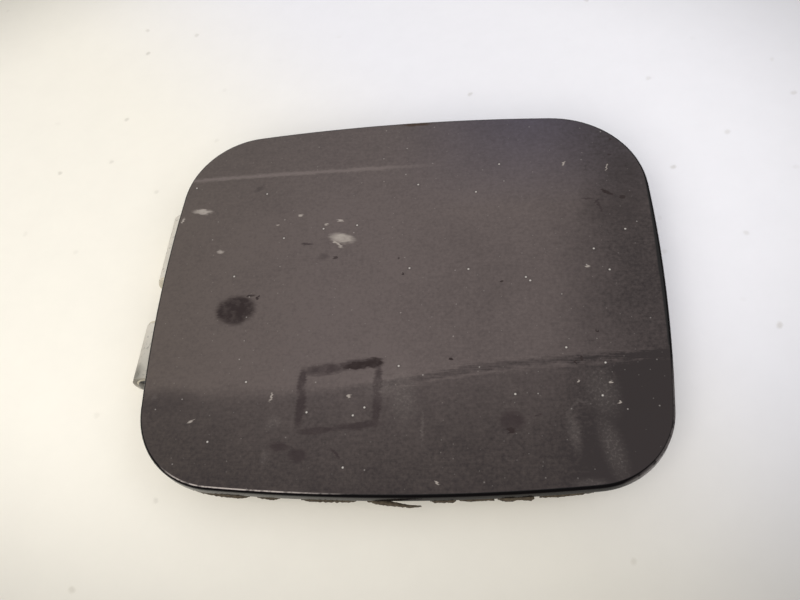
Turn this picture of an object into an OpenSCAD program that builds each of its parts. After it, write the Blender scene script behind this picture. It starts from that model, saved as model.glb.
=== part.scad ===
// Car fuel door with its hinge, opening spring and latch striker, lying face up.
// The hinge line runs along Y and the free edge is towards +X.
// The origin is midway between the two bolt holes, on the underside of the hinge base.

/* [Door outline] */
// Width of the door, from the hinge edge to the free edge
door_w = 176.5; // [160:0.5:200]
// Height of the door, measured along the hinge
door_h = 148; // [134:0.5:170]
// Radius of the bulge of the two short sides
side_bulge_r = 540; // [350:10:1500]
// Radius of the bulge of the two long edges
edge_bulge_r = 690; // [400:10:1500]
// Corner radius at the free edge, far end
free_far_r = 36; // [24:1:42]
// Corner radius at the hinge edge, far end
hinge_far_r = 30; // [24:1:42]
// Corner radius at the hinge edge, near end
hinge_near_r = 30; // [24:1:42]
// Corner radius at the free edge, near end
free_near_r = 26; // [24:1:42]
// Angle between the door's outline and the hinge line, seen from above
door_yaw = 2.2; // [0:0.1:5]

/* [Outer skin] */
// Rise of the crowned face at its middle
crown_h = 2; // [0.5:0.1:4]
// Thickness of the skin's steel sheet
skin_t = 0.8; // [0.6:0.1:1.2]
// Outer radius of the bend round the face
bend_r = 1.2; // [1.2:0.1:2.8]
// Outer radius of the fold at the foot of the hem
fold_r = 1.2; // [1.2:0.1:1.6]
// Depth of the folded edge below the face
hem_depth = 5.2; // [5:0.1:7]
// Width of the hem that is folded in
hem_w = 8; // [6:0.5:10]

/* [Inner panel] */
// Thickness of the inner panel's sheet
panel_t = 0.8; // [0.6:0.1:1.2]
// Gap between the panel's edge and the inside of the fold
panel_edge_gap = 0.3; // [0.2:0.1:1]
// Width of the flat rim that shows inside the hem
rim_w = 0.8; // [0.5:0.1:2]
// Width of the slope from the rim down to the web
slope_w = 2.4; // [1.5:0.1:4]
// Width of the raised dish in the middle
dish_w = 84; // [70:1:90]
// Height of the raised dish, along the hinge
dish_h = 58; // [50:1:64]
// Corner radius of the dish
dish_corner_r = 14; // [10:1:20]
// Rise of the dish above the web
dish_rise = 3; // [2:0.1:3.4]
// Inner width of the pressed beads
bead_w = 8; // [6:0.5:10]
// Rise of the pressed beads
bead_rise = 1.6; // [1:0.1:2.2]
// Length of the two beads along the long edges
long_bead_l = 64; // [40:1:80]
// Length of the two beads beside the striker
short_bead_l = 16; // [10:1:18]
// Distance from the free edge in to the two beads beside the striker
short_bead_in = 30; // [28:0.5:34]
// Radius of the two drain holes in the dish
drain_r = 4; // [2:0.5:5]

/* [Hinge line] */
// Distance from the hinge line to the line of the bolt holes
axis_to_bolts = 24; // [22:0.5:30]
// Distance from the middle of the door's edge out to the hinge line
edge_to_axis = 1.1; // [0:0.1:3]
// How far the middle of the hinge lies beyond the middle of the door
hinge_shift = 2; // [-5:0.5:8]
// Gap between the two eyes
eye_gap = 19.5; // [16:0.5:22]
// Length of the eye at the near end
lower_eye_l = 22; // [18:0.5:30]
// Length of the eye at the far end
upper_eye_l = 28.5; // [20:0.5:36]
// Height of the open space under the eyes
eye_floor_gap = 0.5; // [0.3:0.1:2]
// Height of the space between the arm and the hem
arm_hem_gap = 0.8; // [0.6:0.1:2]

/* [Pin, bushes and clip] */
// Radius of the hinge pin
pin_r = 2.5; // [2:0.1:3]
// Running clearance of the pin in its bushes
run_gap = 0.05; // [0.02:0.01:0.1]
// Clearance of pieces that are pressed or clipped together
press_gap = 0.02; // [0.01:0.01:0.04]
// End clearance between pieces that turn past each other
side_gap = 0.3; // [0.2:0.05:0.6]
// Wall of the bushes
bush_wall = 2.4; // [1.5:0.1:2.6]
// Rim of the bush flange beyond its tube
bush_rim = 1.2; // [0.8:0.1:1.4]
// Thickness of the bush flange
bush_flange_t = 1; // [0.8:0.1:1.5]
// Radius of the pin's domed head
head_r = 4.4; // [3.8:0.1:5]
// Height of the pin's domed head
head_h = 1.6; // [1:0.1:2.4]
// Depth of the groove for the clip
groove_depth = 0.6; // [0.4:0.1:0.8]
// Thickness of the clip
clip_t = 0.8; // [0.6:0.1:1]
// Outer radius of the clip
clip_r = 4.6; // [4:0.1:5]
// Width of the clip's mouth
clip_mouth = 3.5; // [3.2:0.1:3.7]
// Radius of the two reliefs in the clip's bore
clip_relief_r = 0.9; // [0.6:0.1:1.1]
// Length of pin beyond the clip
pin_tail = 1.4; // [0.8:0.1:3]

/* [Hinge base] */
// Thickness of the foot
foot_t = 2.5; // [2:0.1:4]
// How far the foot reaches past the hinge line
foot_back = 6; // [4:0.5:7]
// How far the foot reaches past the bolt holes
foot_front = 11; // [10:0.5:16]
// Length of the foot, along the hinge
foot_l = 58; // [56:1:66]
// Corner radius of the foot
foot_corner_r = 6; // [3:0.5:8]
// Distance between the two bolt holes
bolt_spacing = 40; // [36:1:42]
// Radius of the bolt holes
bolt_hole_r = 3.3; // [2.7:0.1:4.3]
// Wall of the bosses round the bolt holes
boss_wall = 4; // [3:0.5:4.5]
// Rise of the bosses above the foot
boss_h = 1.5; // [0.5:0.1:3]
// How much narrower a boss is at its top, each side
boss_draft = 0.4; // [0.1:0.1:0.8]
// Thickness of the two ears
ear_t = 2; // [1.6:0.1:2.4]
// Wall of the ears round the pin
ear_wall = 1.5; // [1.2:0.1:1.6]
// Length of the ears' root on the foot, measured from the hinge line
ear_root = 14; // [11:0.5:16]
// Width of each gusset outside the ears
gusset_w = 5; // [3:0.5:6]
// Height of the gussets
gusset_h = 5; // [3:0.5:6]
// Thickness of the gussets and of the rib between the ears
rib_t = 2.5; // [1.5:0.1:3]

/* [Opening spring] */
// Radius of the spring wire
wire_r = 0.5; // [0.4:0.05:0.6]
// Clearance between the coil and the pin
coil_gap = 0.3; // [0.2:0.05:0.5]
// Full turns of the coil
coil_turns = 5; // [3:1:5]
// Length of the leg on the base
base_leg_l = 12; // [11:0.5:14]
// Length of the leg under the arm
arm_leg_l = 19; // [16:0.5:24]
// How far the leg on the base reaches past its rib
leg_past = 0.5; // [0.5:0.1:1.5]
// Gap between the turns of the coil
turn_gap = 0.3; // [0.1:0.05:0.5]
// Clearance between the spring's legs and what they bear on
leg_gap = 0.1; // [0.05:0.05:0.3]

/* [Hinge arm] */
// Thickness of the arm's sheet
arm_t = 1.5; // [1.2:0.1:2]
// Length of the leaf from the hinge line
leaf_l = 44; // [40:1:46]
// How much narrower the leaf is at its end, each side
leaf_taper = 11.5; // [8:0.5:13]
// Corner radius at the end of the leaf
leaf_corner_r = 8; // [4:0.5:9]
// Length of the straight part before the taper
leaf_straight = 10; // [8:0.5:12]
// Depth of the notch that clears the ears
notch_l = 12; // [9:0.5:15]
// Corner radius of the notch
notch_corner_r = 4; // [2:0.5:6]
// Height of the flanges turned down along the leaf
leaf_flange_h = 4; // [2:0.5:5]
// Distance from the hinge line to the start of the flanges
leaf_flange_from = 15; // [13:0.5:18]
// Distance from the hinge line to the end of the flanges
leaf_flange_to = 36.5; // [30:0.5:37]
// Inner width of the two ribs pressed down in the leaf
leaf_rib_w = 3; // [2:0.1:3.4]
// Length of the two ribs pressed down in the leaf
leaf_rib_l = 22; // [14:0.5:22]
// Depth of the two ribs pressed down in the leaf
leaf_rib_h = 1.2; // [0.6:0.1:1.4]
// Angle of the slit between the curl's end and the leaf
curl_slit = 20; // [10:1:30]
// Radius of the hole in the middle of the leaf
leaf_hole_r = 4; // [3:0.5:4.5]

/* [Rivets] */
// Radius of the rivet shanks
rivet_r = 2.4; // [2:0.1:2.6]
// Clearance round the rivet shanks
rivet_gap = 0.1; // [0.05:0.05:0.2]
// Radius of the rivet heads
rivet_head_r = 4.2; // [3.6:0.1:4.4]
// Height of the rivet heads
rivet_head_h = 1.6; // [1:0.1:2]
// Radius of the rivets' upset tails
rivet_tail_r = 3.4; // [3:0.1:3.6]
// Height of the rivets' upset tails
rivet_tail_h = 1.3; // [0.8:0.1:1.6]
// Distance of the first rivet pair from the hinge line
first_rivets_x = 21; // [19:0.5:24]
// Distance of the second rivet pair from the hinge line
second_rivets_x = 37; // [34:0.5:38]
// Distance of the first rivet pair from the leaf's edges
first_rivets_in = 7.2; // [6.5:0.1:9]
// Distance of the second rivet pair from the leaf's edges
second_rivets_in = 9.5; // [8:0.1:12]

/* [Latch striker] */
// Thickness of the striker's steel
striker_t = 2; // [1.5:0.1:2.5]
// Width of the striker
striker_w = 28; // [24:1:32]
// Width of the striker's foot
striker_foot_w = 18; // [14:1:22]
// Length of the striker's flange
striker_flange_l = 22; // [20:1:26]
// Distance from the striker's leg to the free edge of the door
striker_setback = 13; // [12:0.5:18]
// How far the striker lies along the hinge from the origin
striker_y = 6; // [2:0.5:10]
// Corner radius of the striker
striker_corner_r = 4; // [2:0.5:5]
// Inner radius of the striker's fold
striker_bend_r = 1.5; // [1:0.1:2.5]
// Radius of the eye for the lock pin
latch_eye_r = 4.5; // [3:0.1:5]
// Height of the eye for the lock pin above the underside
latch_eye_z = 7.5; // [7:0.1:8]
// Distance between the striker's rivets
striker_rivet_spacing = 15; // [12:0.5:17]
// Distance from the flange's end to the striker's rivets
striker_rivet_in = 7; // [6:0.5:9]

/* [Rubber bumpers] */
// Distance of the bumpers from the door's short sides
bumper_side_in = 27; // [24:0.5:30]
// Distance of the bumpers from the door's long edges
bumper_edge_in = 27; // [24:0.5:30]
// Radius of a bumper's pad
bumper_r = 6; // [4:0.5:7]
// Height of a bumper's pad below the inner panel
bumper_h = 5; // [3:0.5:8]
// Width of the slope round a bumper's pad and its barb
bumper_slope = 1.2; // [0.6:0.1:1.6]
// Radius of a bumper's neck
bumper_neck_r = 3.1; // [2.4:0.1:3.4]
// Radius of a bumper's barb
bumper_barb_r = 4.2; // [3.6:0.1:4.6]
// Height of a bumper's barb
bumper_barb_h = 2.8; // [2:0.1:3.4]
// Clearance round necks and pegs in the inner panel
neck_gap = 0.1; // [0.05:0.05:0.3]

/* [Cap holder] */
// Width of the holder's plate
holder_w = 34; // [30:1:38]
// Height of the holder's plate, along the hinge
holder_l = 24; // [22:1:28]
// Corner radius of the holder's plate
holder_corner_r = 4; // [2:0.5:6]
// Thickness of the holder's plate
holder_t = 2; // [1.5:0.1:3]
// Width of the slot that the cap's grip goes in
holder_slot_w = 13; // [11:0.5:15]
// Thickness of the fingers at their root
finger_t = 2.6; // [2:0.1:3]
// Height of the fingers
finger_h = 10; // [8:0.5:12]
// Length of the fingers, along the hinge
finger_l = 19; // [14:1:20]
// How far the lips at the fingertips stand in
finger_lip = 0.7; // [0.3:0.1:1]
// Radius of the two snap pegs
peg_r = 2.4; // [2:0.1:2.8]
// Plate left between a peg and the plate's end
peg_edge = 2; // [1.5:0.1:3]
// How far a peg's barb stands out
peg_barb_out = 0.7; // [0.4:0.1:1]
// How much narrower a peg is at its tip, each side
peg_tip_in = 0.6; // [0.3:0.1:1]
// Height of the snap pegs' barbs
peg_barb_h = 2.2; // [1.5:0.1:2.4]

/* [Sealer and mastic] */
// Thickness of the sealer under the hem
sealer_t = 0.6; // [0.4:0.1:0.7]
// Width of the sealer bead inside the hem
sealer_w = 1.6; // [1:0.1:2]
// How far the sealer's flakes stand out past the near edge
flake_out = 1.6; // [0.5:0.1:2.5]
// Where the broken sealer starts along the near edge, from the door's middle
flakes_from = -56; // [-58:1:-30]
// Where the broken sealer ends along the near edge, from the door's middle
flakes_to = 44; // [20:1:58]
// Where the largest flake starts along the near edge
big_flake_from = -4; // [-20:1:0]
// Length of the largest flake
big_flake_l = 18; // [8:1:30]
// Share of the largest flake's reach that the other flakes have
small_flakes = 0.35; // [0.2:0.05:0.6]
// Radius of a mastic dab
dab_r = 6; // [4:0.5:7]
// Radius of a mastic dab's flat top
dab_top_r = 4.2; // [3:0.1:4.8]
// Distance from the dish's sides in to the middle of a dab
dab_side_in = 17; // [14:0.5:20]
// Distance from the dish's ends in to the middle of a dab
dab_end_in = 10; // [9:0.5:12]
// Clearance between the mastic dabs and the skin
dab_gap = 0.3; // [0.2:0.1:0.6]

/* [Hidden] */
$fn = 64;

// Radii that follow from the pin outwards
bush_bore_r = pin_r + run_gap;
bush_r = bush_bore_r + bush_wall;
eye_inner_r = bush_r + run_gap;
eye_r = eye_inner_r + arm_t;
ear_r = pin_r + ear_wall;
coil_r = pin_r + coil_gap + wire_r;

// Heights that follow from the foot upwards
axis_x = -axis_to_bolts;
axis_z = foot_t + eye_floor_gap + eye_r;
web_z = axis_z + eye_r;
leaf_z = web_z - arm_t;
hem_z = web_z + arm_hem_gap;
rim_z = hem_z + skin_t;
face_z = hem_z + hem_depth;
dish_z = web_z + dish_rise;

// Places along the hinge line
upper_end = eye_gap / 2 + upper_eye_l;
lower_end = -eye_gap / 2 - lower_eye_l;
ear_out = eye_gap / 2 - bush_flange_t - side_gap;
ear_in = ear_out - ear_t;
clip_y = upper_end + side_gap;

// Middle of the door's outline
hinge_reach = door_w / 2 + edge_to_axis;
door_x = axis_x + hinge_reach * cos(door_yaw) + hinge_shift * sin(door_yaw);
door_y = hinge_reach * sin(door_yaw) - hinge_shift * cos(door_yaw);

// Steps of the outline in one quarter
SIDE_STEPS = 3;
CORNER_STEPS = 9;
EDGE_STEPS = 5;
BEND_STEPS = 4;
CROWN_STEPS = 5;

// Corner radii, anticlockwise from the free edge's far end
DOOR_CORNERS = [free_far_r, hinge_far_r, hinge_near_r, free_near_r];
DISH_CORNERS = [for (i = [0 : 3]) dish_corner_r];

function unit(v) = v / norm(v);

// Centre of the corner arc that touches the side arc and the edge arc from inside
function corner_centre(w, h, r) =
    let (
        side_c = [w / 2 - side_bulge_r, 0],
        edge_c = [0, h / 2 - edge_bulge_r],
        from_side = side_bulge_r - r,
        from_edge = edge_bulge_r - r,
        apart = norm(edge_c - side_c),
        along = (pow(from_side, 2) - pow(from_edge, 2) + pow(apart, 2)) / (2 * apart),
        off = sqrt(pow(from_side, 2) - pow(along, 2)),
        dir = unit(edge_c - side_c)
    )
    side_c + along * dir + off * [-dir[1], dir[0]];

// First quarter of the outline, from the middle of the side to the middle of the edge
function quarter(w, h, r, inset) =
    let (
        side_c = [w / 2 - side_bulge_r, 0],
        edge_c = [0, h / 2 - edge_bulge_r],
        corner_c = corner_centre(w, h, r),
        a0 = atan2(corner_c[1], corner_c[0] - side_c[0]),
        a1 = atan2(corner_c[1] - edge_c[1], corner_c[0])
    )
    concat(
        [for (i = [0 : SIDE_STEPS - 1]) arc_point(side_c, side_bulge_r - inset, a0 * i / SIDE_STEPS)],
        [for (i = [0 : CORNER_STEPS - 1]) arc_point(corner_c, r - inset, a0 + (a1 - a0) * i / CORNER_STEPS)],
        [for (i = [0 : EDGE_STEPS]) arc_point(edge_c, edge_bulge_r - inset, a1 + (90 - a1) * i / EDGE_STEPS)]
    );

// Closed outline of four bulged sides and four round corners, set in by a distance
function outline(w, h, corners, inset = 0) =
    let (
        q = [for (r = corners) quarter(w, h, r, inset)],
        n = len(q[0]) - 1
    )
    concat(
        [for (i = [0 : n - 1]) q[0][i]],
        [for (i = [n : -1 : 1]) [-q[1][i][0], q[1][i][1]]],
        [for (i = [0 : n - 1]) -q[2][i]],
        [for (i = [n : -1 : 1]) [q[3][i][0], -q[3][i][1]]]
    );

function arc_point(c, r, a) = c + r * [cos(a), sin(a)];

function lift(points, z) = [for (p = points) [p[0], p[1], z]];

function door_ring(inset, z) = lift(outline(door_w, door_h, DOOR_CORNERS, inset), z);

function dish_ring(inset, z) = lift(outline(dish_w, dish_h, DISH_CORNERS, inset), z);

// Ring of the crowned face: the face's edge scaled towards the middle
function crown_z(s) = face_z + crown_h * (1 - s * s);

function crown_ring(s, down) = lift(s * outline(door_w, door_h, DOOR_CORNERS, bend_r), crown_z(s) - down);

// Ring on a bend between the face and the flange, for a sheet surface that lies down from the face
function bend_ring(a, down) =
    door_ring(bend_r - (bend_r - down) * sin(a), face_z - bend_r + (bend_r - down) * cos(a));

// Ring on the fold at the foot of the flange
function fold_ring(a, down) =
    door_ring(fold_r - (fold_r - down) * cos(a), hem_z + fold_r - (fold_r - down) * sin(a));

// Corner of a polygon, rounded to a radius
function round_corner(a, p, b, r, steps = 6) =
    let (
        u = unit(a - p),
        v = unit(b - p),
        half = acos(u * v) / 2,
        c = p + unit(u + v) * r / sin(half),
        from = p + u * r / tan(half) - c,
        to = p + v * r / tan(half) - c,
        a0 = atan2(from[1], from[0]),
        raw = atan2(to[1], to[0]) - a0,
        turn = raw > 180 ? raw - 360 : raw < -180 ? raw + 360 : raw
    )
    [for (i = [0 : steps]) arc_point(c, r, a0 + turn * i / steps)];

// Polygon whose points are [x, y, corner radius]
function rounded(points) =
    let (n = len(points))
    [
        for (i = [0 : n - 1])
            let (
                a = points[(i + n - 1) % n],
                p = points[i],
                b = points[(i + 1) % n]
            )
            each (p[2] > 0
                ? round_corner([a[0], a[1]], [p[0], p[1]], [b[0], b[1]], p[2])
                : [[p[0], p[1]]])
    ];

function flatten(rings) = [for (ring = rings) each ring];

// Triangles between ring k and the next one
function band(k, next, n) =
    [
        for (i = [0 : n - 1])
            let (j = (i + 1) % n)
            each [[k * n + i, k * n + j, next * n + j], [k * n + i, next * n + j, next * n + i]]
    ];

// Solid through a list of rings, closed with flat ends
module ring_solid(rings) {
    n = len(rings[0]);
    last = len(rings) - 1;
    polyhedron(
        points = flatten(rings),
        faces = concat(
            [[for (i = [n - 1 : -1 : 0]) i]],
            [for (k = [0 : last - 1]) each band(k, k + 1, n)],
            [[for (i = [0 : n - 1]) last * n + i]]
        ),
        convexity = 6
    );
}

// Solid through a closed loop of rings
module ring_loop(rings) {
    n = len(rings[0]);
    count = len(rings);
    polyhedron(
        points = flatten(rings),
        faces = [for (k = [0 : count - 1]) each band(k, (k + 1) % count, n)],
        convexity = 6
    );
}

// Moves a piece drawn about the door's middle to the door's place
module at_door() {
    translate([door_x, door_y, 0])
        rotate(door_yaw)
            children();
}

// Turns a piece drawn along Z onto the hinge line
module on_axis() {
    translate([axis_x, 0, axis_z])
        rotate([-90, 0, 0])
            children();
}

// Extrudes a profile drawn in X and Z along the hinge, between two places
module along_hinge(from, to) {
    translate([0, to, 0])
        rotate([90, 0, 0])
            linear_extrude(to - from)
                children();
}

module oblong(length, width) {
    square([length - width, width], center = true);
    for (end = [-1, 1])
        translate([end * (length - width) / 2, 0])
            circle(d = width);
}

module outer_skin() {
    crown = [for (k = [1 : CROWN_STEPS]) k / CROWN_STEPS];
    turns = [for (k = [1 : BEND_STEPS]) 90 * k / BEND_STEPS];
    back = [for (k = [BEND_STEPS : -1 : 1]) 90 * k / BEND_STEPS];
    color([0.36, 0.33, 0.32])
        at_door()
            ring_solid(concat(
                [for (s = crown) crown_ring(s, 0)],
                [for (a = turns) bend_ring(a, 0)],
                [fold_ring(0, 0)],
                [for (a = turns) fold_ring(a, 0)],
                [door_ring(hem_w, hem_z), door_ring(hem_w, rim_z)],
                [for (a = back) fold_ring(a, skin_t)],
                [fold_ring(0, skin_t)],
                [for (a = back) bend_ring(a, skin_t)],
                [for (k = [CROWN_STEPS : -1 : 1]) crown_ring(k / CROWN_STEPS, skin_t)]
            ));
}

function rim_end() = hem_w + rim_w;

// Rings of one face of the inner panel, from its edge to the top of the dish
function panel_face(up) =
    [
        door_ring(fold_r + panel_edge_gap, rim_z + up),
        door_ring(rim_end(), rim_z + up),
        door_ring(rim_end() + slope_w, web_z + up),
        dish_ring(-slope_w, web_z + up),
        dish_ring(0, dish_z + up)
    ];

function reversed(list) = [for (i = [len(list) - 1 : -1 : 0]) list[i]];

bumper_x = door_w / 2 - bumper_side_in;
bumper_y = door_h / 2 - bumper_edge_in;

// Places of the four pressed beads: [x, y, angle, length]
long_bead_y = (door_h / 2 - rim_end() + dish_h / 2) / 2;
short_bead_x = door_w / 2 - short_bead_in;
short_bead_y = (striker_w / 2 + bumper_y - bumper_r) / 2;
BEADS = [
    [0, long_bead_y, 0, long_bead_l],
    [0, -long_bead_y, 0, long_bead_l],
    [short_bead_x, short_bead_y, 90, short_bead_l],
    [short_bead_x, -short_bead_y, 90, short_bead_l]
];

module at_beads(extra) {
    for (b = BEADS)
        translate([b[0], b[1], 0])
            rotate(b[2])
                oblong(b[3] + extra, bead_w + extra);
}

BUMPERS = [for (sx = [-1, 1], sy = [-1, 1]) [sx * bumper_x, sy * bumper_y]];
peg_x = holder_w / 2 - peg_r - peg_edge;
drain_x = (holder_w + dish_w) / 4;

module inner_panel() {
    color([0.22, 0.21, 0.21])
        difference() {
            at_door()
                difference() {
                    union() {
                        ring_solid(concat(reversed(panel_face(panel_t)), panel_face(0)));
                        translate([0, 0, web_z + panel_t / 2])
                            linear_extrude(bead_rise + panel_t / 2)
                                at_beads(2 * panel_t);
                    }
                    translate([0, 0, web_z - panel_t])
                        linear_extrude(bead_rise + panel_t)
                            at_beads(0);
                    for (p = BUMPERS)
                        translate([p[0], p[1], web_z - panel_t])
                            cylinder(r = bumper_neck_r + neck_gap, h = 3 * panel_t);
                    for (side = [-1, 1]) {
                        translate([side * peg_x, 0, dish_z - panel_t])
                            cylinder(r = peg_r + neck_gap, h = 3 * panel_t);
                        translate([side * drain_x, 0, dish_z - panel_t])
                            cylinder(r = drain_r, h = 3 * panel_t);
                    }
                }
            translate([0, 0, web_z - panel_t])
                rivet_holes(concat(ARM_RIVETS, STRIKER_RIVETS), 3 * panel_t);
        }
}

// Broken line of the sealer along the near edge, as a share of how far it may stand out.
// Each wave is [degrees to a millimetre, phase].
FLAKE_WAVES = [[31, 0], [73, 40], [137, 10]];
WAVE_SHARE = 0.17;

function in_big_flake(x) = x > big_flake_from && x < big_flake_from + big_flake_l;

function broken(x) =
    WAVE_SHARE * [1, 1, 1] * [for (w = FLAKE_WAVES) sin(w[0] * x + w[1])]
    + (in_big_flake(x) ? 1 : small_flakes);

module hem_sealer() {
    edge_y = edge_bulge_r - door_h / 2;
    near_y = function (x, r) edge_y - sqrt(r * r - x * x);
    flake_step = 2;
    color([0.27, 0.22, 0.17])
        at_door() {
            ring_loop([
                door_ring(hem_w + sealer_w, hem_z),
                door_ring(hem_w, hem_z),
                door_ring(hem_w - sealer_w, hem_z),
                door_ring(hem_w - sealer_w / 2, hem_z - sealer_t),
                door_ring(hem_w + sealer_w / 2, hem_z - sealer_t)
            ]);
            translate([0, 0, hem_z - sealer_t])
                linear_extrude(sealer_t)
                    polygon(concat(
                        [
                            for (x = [flakes_from : flake_step : flakes_to])
                                [x, near_y(x, edge_bulge_r + flake_out * broken(x))]
                        ],
                        [
                            for (x = [flakes_to : -3 * flake_step : flakes_from])
                                [x, near_y(x, edge_bulge_r - hem_w / 2)]
                        ]
                    ));
        }
}

module mastic_dabs() {
    dab_x = dish_w / 2 - dab_side_in;
    dab_y = dish_h / 2 - dab_end_in;
    share = norm([2 * dab_x / door_w, 2 * dab_y / door_h]);
    low = dish_z + panel_t;
    tall = crown_z(share) - skin_t - dab_gap - low;
    color([0.12, 0.12, 0.12])
        at_door()
            for (sx = [-1, 1], sy = [-1, 1])
                translate([sx * dab_x, sy * dab_y, low])
                    rotate_extrude()
                        polygon(rounded([
                            [0, 0, 0],
                            [dab_r, 0, 0],
                            [dab_r, tall / 2, tall / 3],
                            [dab_top_r, tall, tall / 3],
                            [0, tall, 0]
                        ]));
}

// Outline of the leaf, from the hinge line outwards: [x, y, corner radius]
LEAF = [
    [0, lower_end, 0],
    [leaf_straight, lower_end, notch_corner_r],
    [leaf_l, lower_end + leaf_taper, leaf_corner_r],
    [leaf_l, upper_end - leaf_taper, leaf_corner_r],
    [leaf_straight, upper_end, notch_corner_r],
    [0, upper_end, 0],
    [0, eye_gap / 2, 0],
    [notch_l, eye_gap / 2, notch_corner_r],
    [notch_l, -eye_gap / 2, notch_corner_r],
    [0, -eye_gap / 2, 0]
];

leaf_middle = [(notch_l + leaf_l) / 2, (upper_end + lower_end) / 2];

// Distance that the leaf's side has come in at a distance from the hinge line
function taper_at(x) = leaf_taper * (x - leaf_straight) / (leaf_l - leaf_straight);

function near_side(x) = [x, lower_end + taper_at(x)];

function far_side(x) = [x, upper_end - taper_at(x)];

function rivet_pair(x, in) =
    [near_side(x) + [axis_x, in], far_side(x) + [axis_x, -in]];

ARM_RIVETS = concat(
    rivet_pair(first_rivets_x, first_rivets_in),
    rivet_pair(second_rivets_x, second_rivets_in)
);

// Rolled eye: a ring with a slit below the leaf
module eye_profile() {
    difference() {
        circle(r = eye_r);
        circle(r = eye_inner_r);
        polygon([
            [0, 0],
            2 * eye_r * [cos(curl_slit), -sin(curl_slit)],
            2 * eye_r * [1, 1],
            [0, 2 * eye_r]
        ]);
    }
    translate([0, eye_inner_r])
        square([leaf_straight, arm_t]);
}

// Flange turned down along a stretch of the leaf's side, which lies on its right
module leaf_flange(from, to) {
    along = to - from;
    across = arm_t * unit([-along[1], along[0]]);
    translate([0, 0, leaf_z - leaf_flange_h])
        linear_extrude(leaf_flange_h + arm_t / 2)
            polygon([from, to, to + across, from + across]);
}

// Plan of the two ribs, one each side of the leaf's hole
module leaf_ribs(extra) {
    off = leaf_hole_r + arm_t + leaf_rib_w / 2 + arm_t / 2;
    for (side = [-1, 1])
        translate(leaf_middle + [0, side * off])
            oblong(leaf_rib_l + extra, leaf_rib_w + extra);
}

module hinge_arm() {
    color([0.76, 0.75, 0.71])
        difference() {
            union() {
                translate([axis_x, 0, leaf_z])
                    linear_extrude(arm_t)
                        polygon(rounded(LEAF));
                translate([axis_x, 0, leaf_z - leaf_rib_h])
                    linear_extrude(leaf_rib_h + arm_t / 2)
                        leaf_ribs(2 * arm_t);
                translate([axis_x, 0, axis_z]) {
                    along_hinge(lower_end, -eye_gap / 2)
                        eye_profile();
                    along_hinge(eye_gap / 2, upper_end)
                        eye_profile();
                }
                translate([axis_x, 0, 0]) {
                    leaf_flange(near_side(leaf_flange_from), near_side(leaf_flange_to));
                    leaf_flange(far_side(leaf_flange_to), far_side(leaf_flange_from));
                }
            }
            translate([0, 0, leaf_z - arm_t])
                rivet_holes(ARM_RIVETS, 3 * arm_t);
            translate([axis_x, 0, leaf_z - leaf_rib_h + arm_t])
                linear_extrude(leaf_rib_h + arm_t)
                    leaf_ribs(0);
            translate([axis_x + leaf_middle[0], leaf_middle[1], leaf_z - arm_t])
                cylinder(r = leaf_hole_r, h = 3 * arm_t);
        }
}

module rivet_holes(places, h) {
    for (p = places)
        translate([p[0], p[1], 0])
            cylinder(r = rivet_r + rivet_gap, h = h);
}

// Rivet with a domed head below and an upset tail above, through a stack of sheets
module rivet(grip) {
    tail_wall = rivet_tail_h * 3 / 5;
    tail_top_r = (rivet_r + rivet_tail_r) / 2 - rivet_tail_h / 2;
    rotate_extrude()
        polygon(concat(
            [[0, -rivet_head_h]],
            [for (a = [75 : -15 : 0]) [rivet_head_r * cos(a), -rivet_head_h * sin(a)]],
            [
                [rivet_r, 0],
                [rivet_r, grip],
                [rivet_tail_r, grip],
                [rivet_tail_r, grip + tail_wall],
                [tail_top_r, grip + rivet_tail_h],
                [0, grip + rivet_tail_h]
            ]
        ));
}

module arm_rivets() {
    color([0.62, 0.61, 0.6])
        for (p = ARM_RIVETS)
            translate([p[0], p[1], leaf_z])
                rivet(arm_t + panel_t);
}

// Flanged bush: the flange lies towards the ears
module bush(length) {
    color([0.85, 0.83, 0.78])
        difference() {
            union() {
                cylinder(r = bush_r, h = length);
                translate([0, 0, -bush_flange_t])
                    cylinder(r = bush_r + bush_rim, h = bush_flange_t);
            }
            translate([0, 0, -2 * bush_flange_t])
                cylinder(r = bush_bore_r, h = length + 4 * bush_flange_t);
        }
}

module bush_upper() {
    on_axis()
        translate([0, 0, eye_gap / 2])
            bush(upper_eye_l);
}

module bush_lower() {
    on_axis()
        mirror([0, 0, 1])
            translate([0, 0, eye_gap / 2])
                bush(lower_eye_l);
}

module hinge_pin() {
    shank_from = lower_end - side_gap;
    shank_to = clip_y + clip_t + pin_tail;
    color([0.45, 0.45, 0.46])
        on_axis()
            rotate_extrude()
                polygon(concat(
                    [[0, shank_from - head_h]],
                    [for (a = [75 : -15 : 0]) [head_r * cos(a), shank_from - head_h * sin(a)]],
                    [
                        [pin_r, shank_from],
                        [pin_r, clip_y],
                        [pin_r - groove_depth, clip_y],
                        [pin_r - groove_depth, clip_y + clip_t + press_gap],
                        [pin_r, clip_y + clip_t + press_gap],
                        [pin_r, shank_to - groove_depth],
                        [pin_r - groove_depth, shank_to],
                        [0, shank_to]
                    ]
                ));
}

module pin_clip() {
    bore_r = pin_r - groove_depth + press_gap;
    color([0.3, 0.3, 0.31])
        on_axis()
            translate([0, 0, clip_y])
                linear_extrude(clip_t)
                    difference() {
                        circle(r = clip_r);
                        circle(r = bore_r);
                        translate([0, -clip_mouth / 2])
                            square([2 * clip_r, clip_mouth]);
                        for (a = [125, 235])
                            rotate(a)
                                translate([bore_r + clip_relief_r / 2, 0])
                                    circle(r = clip_relief_r);
                    }
}

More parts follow.
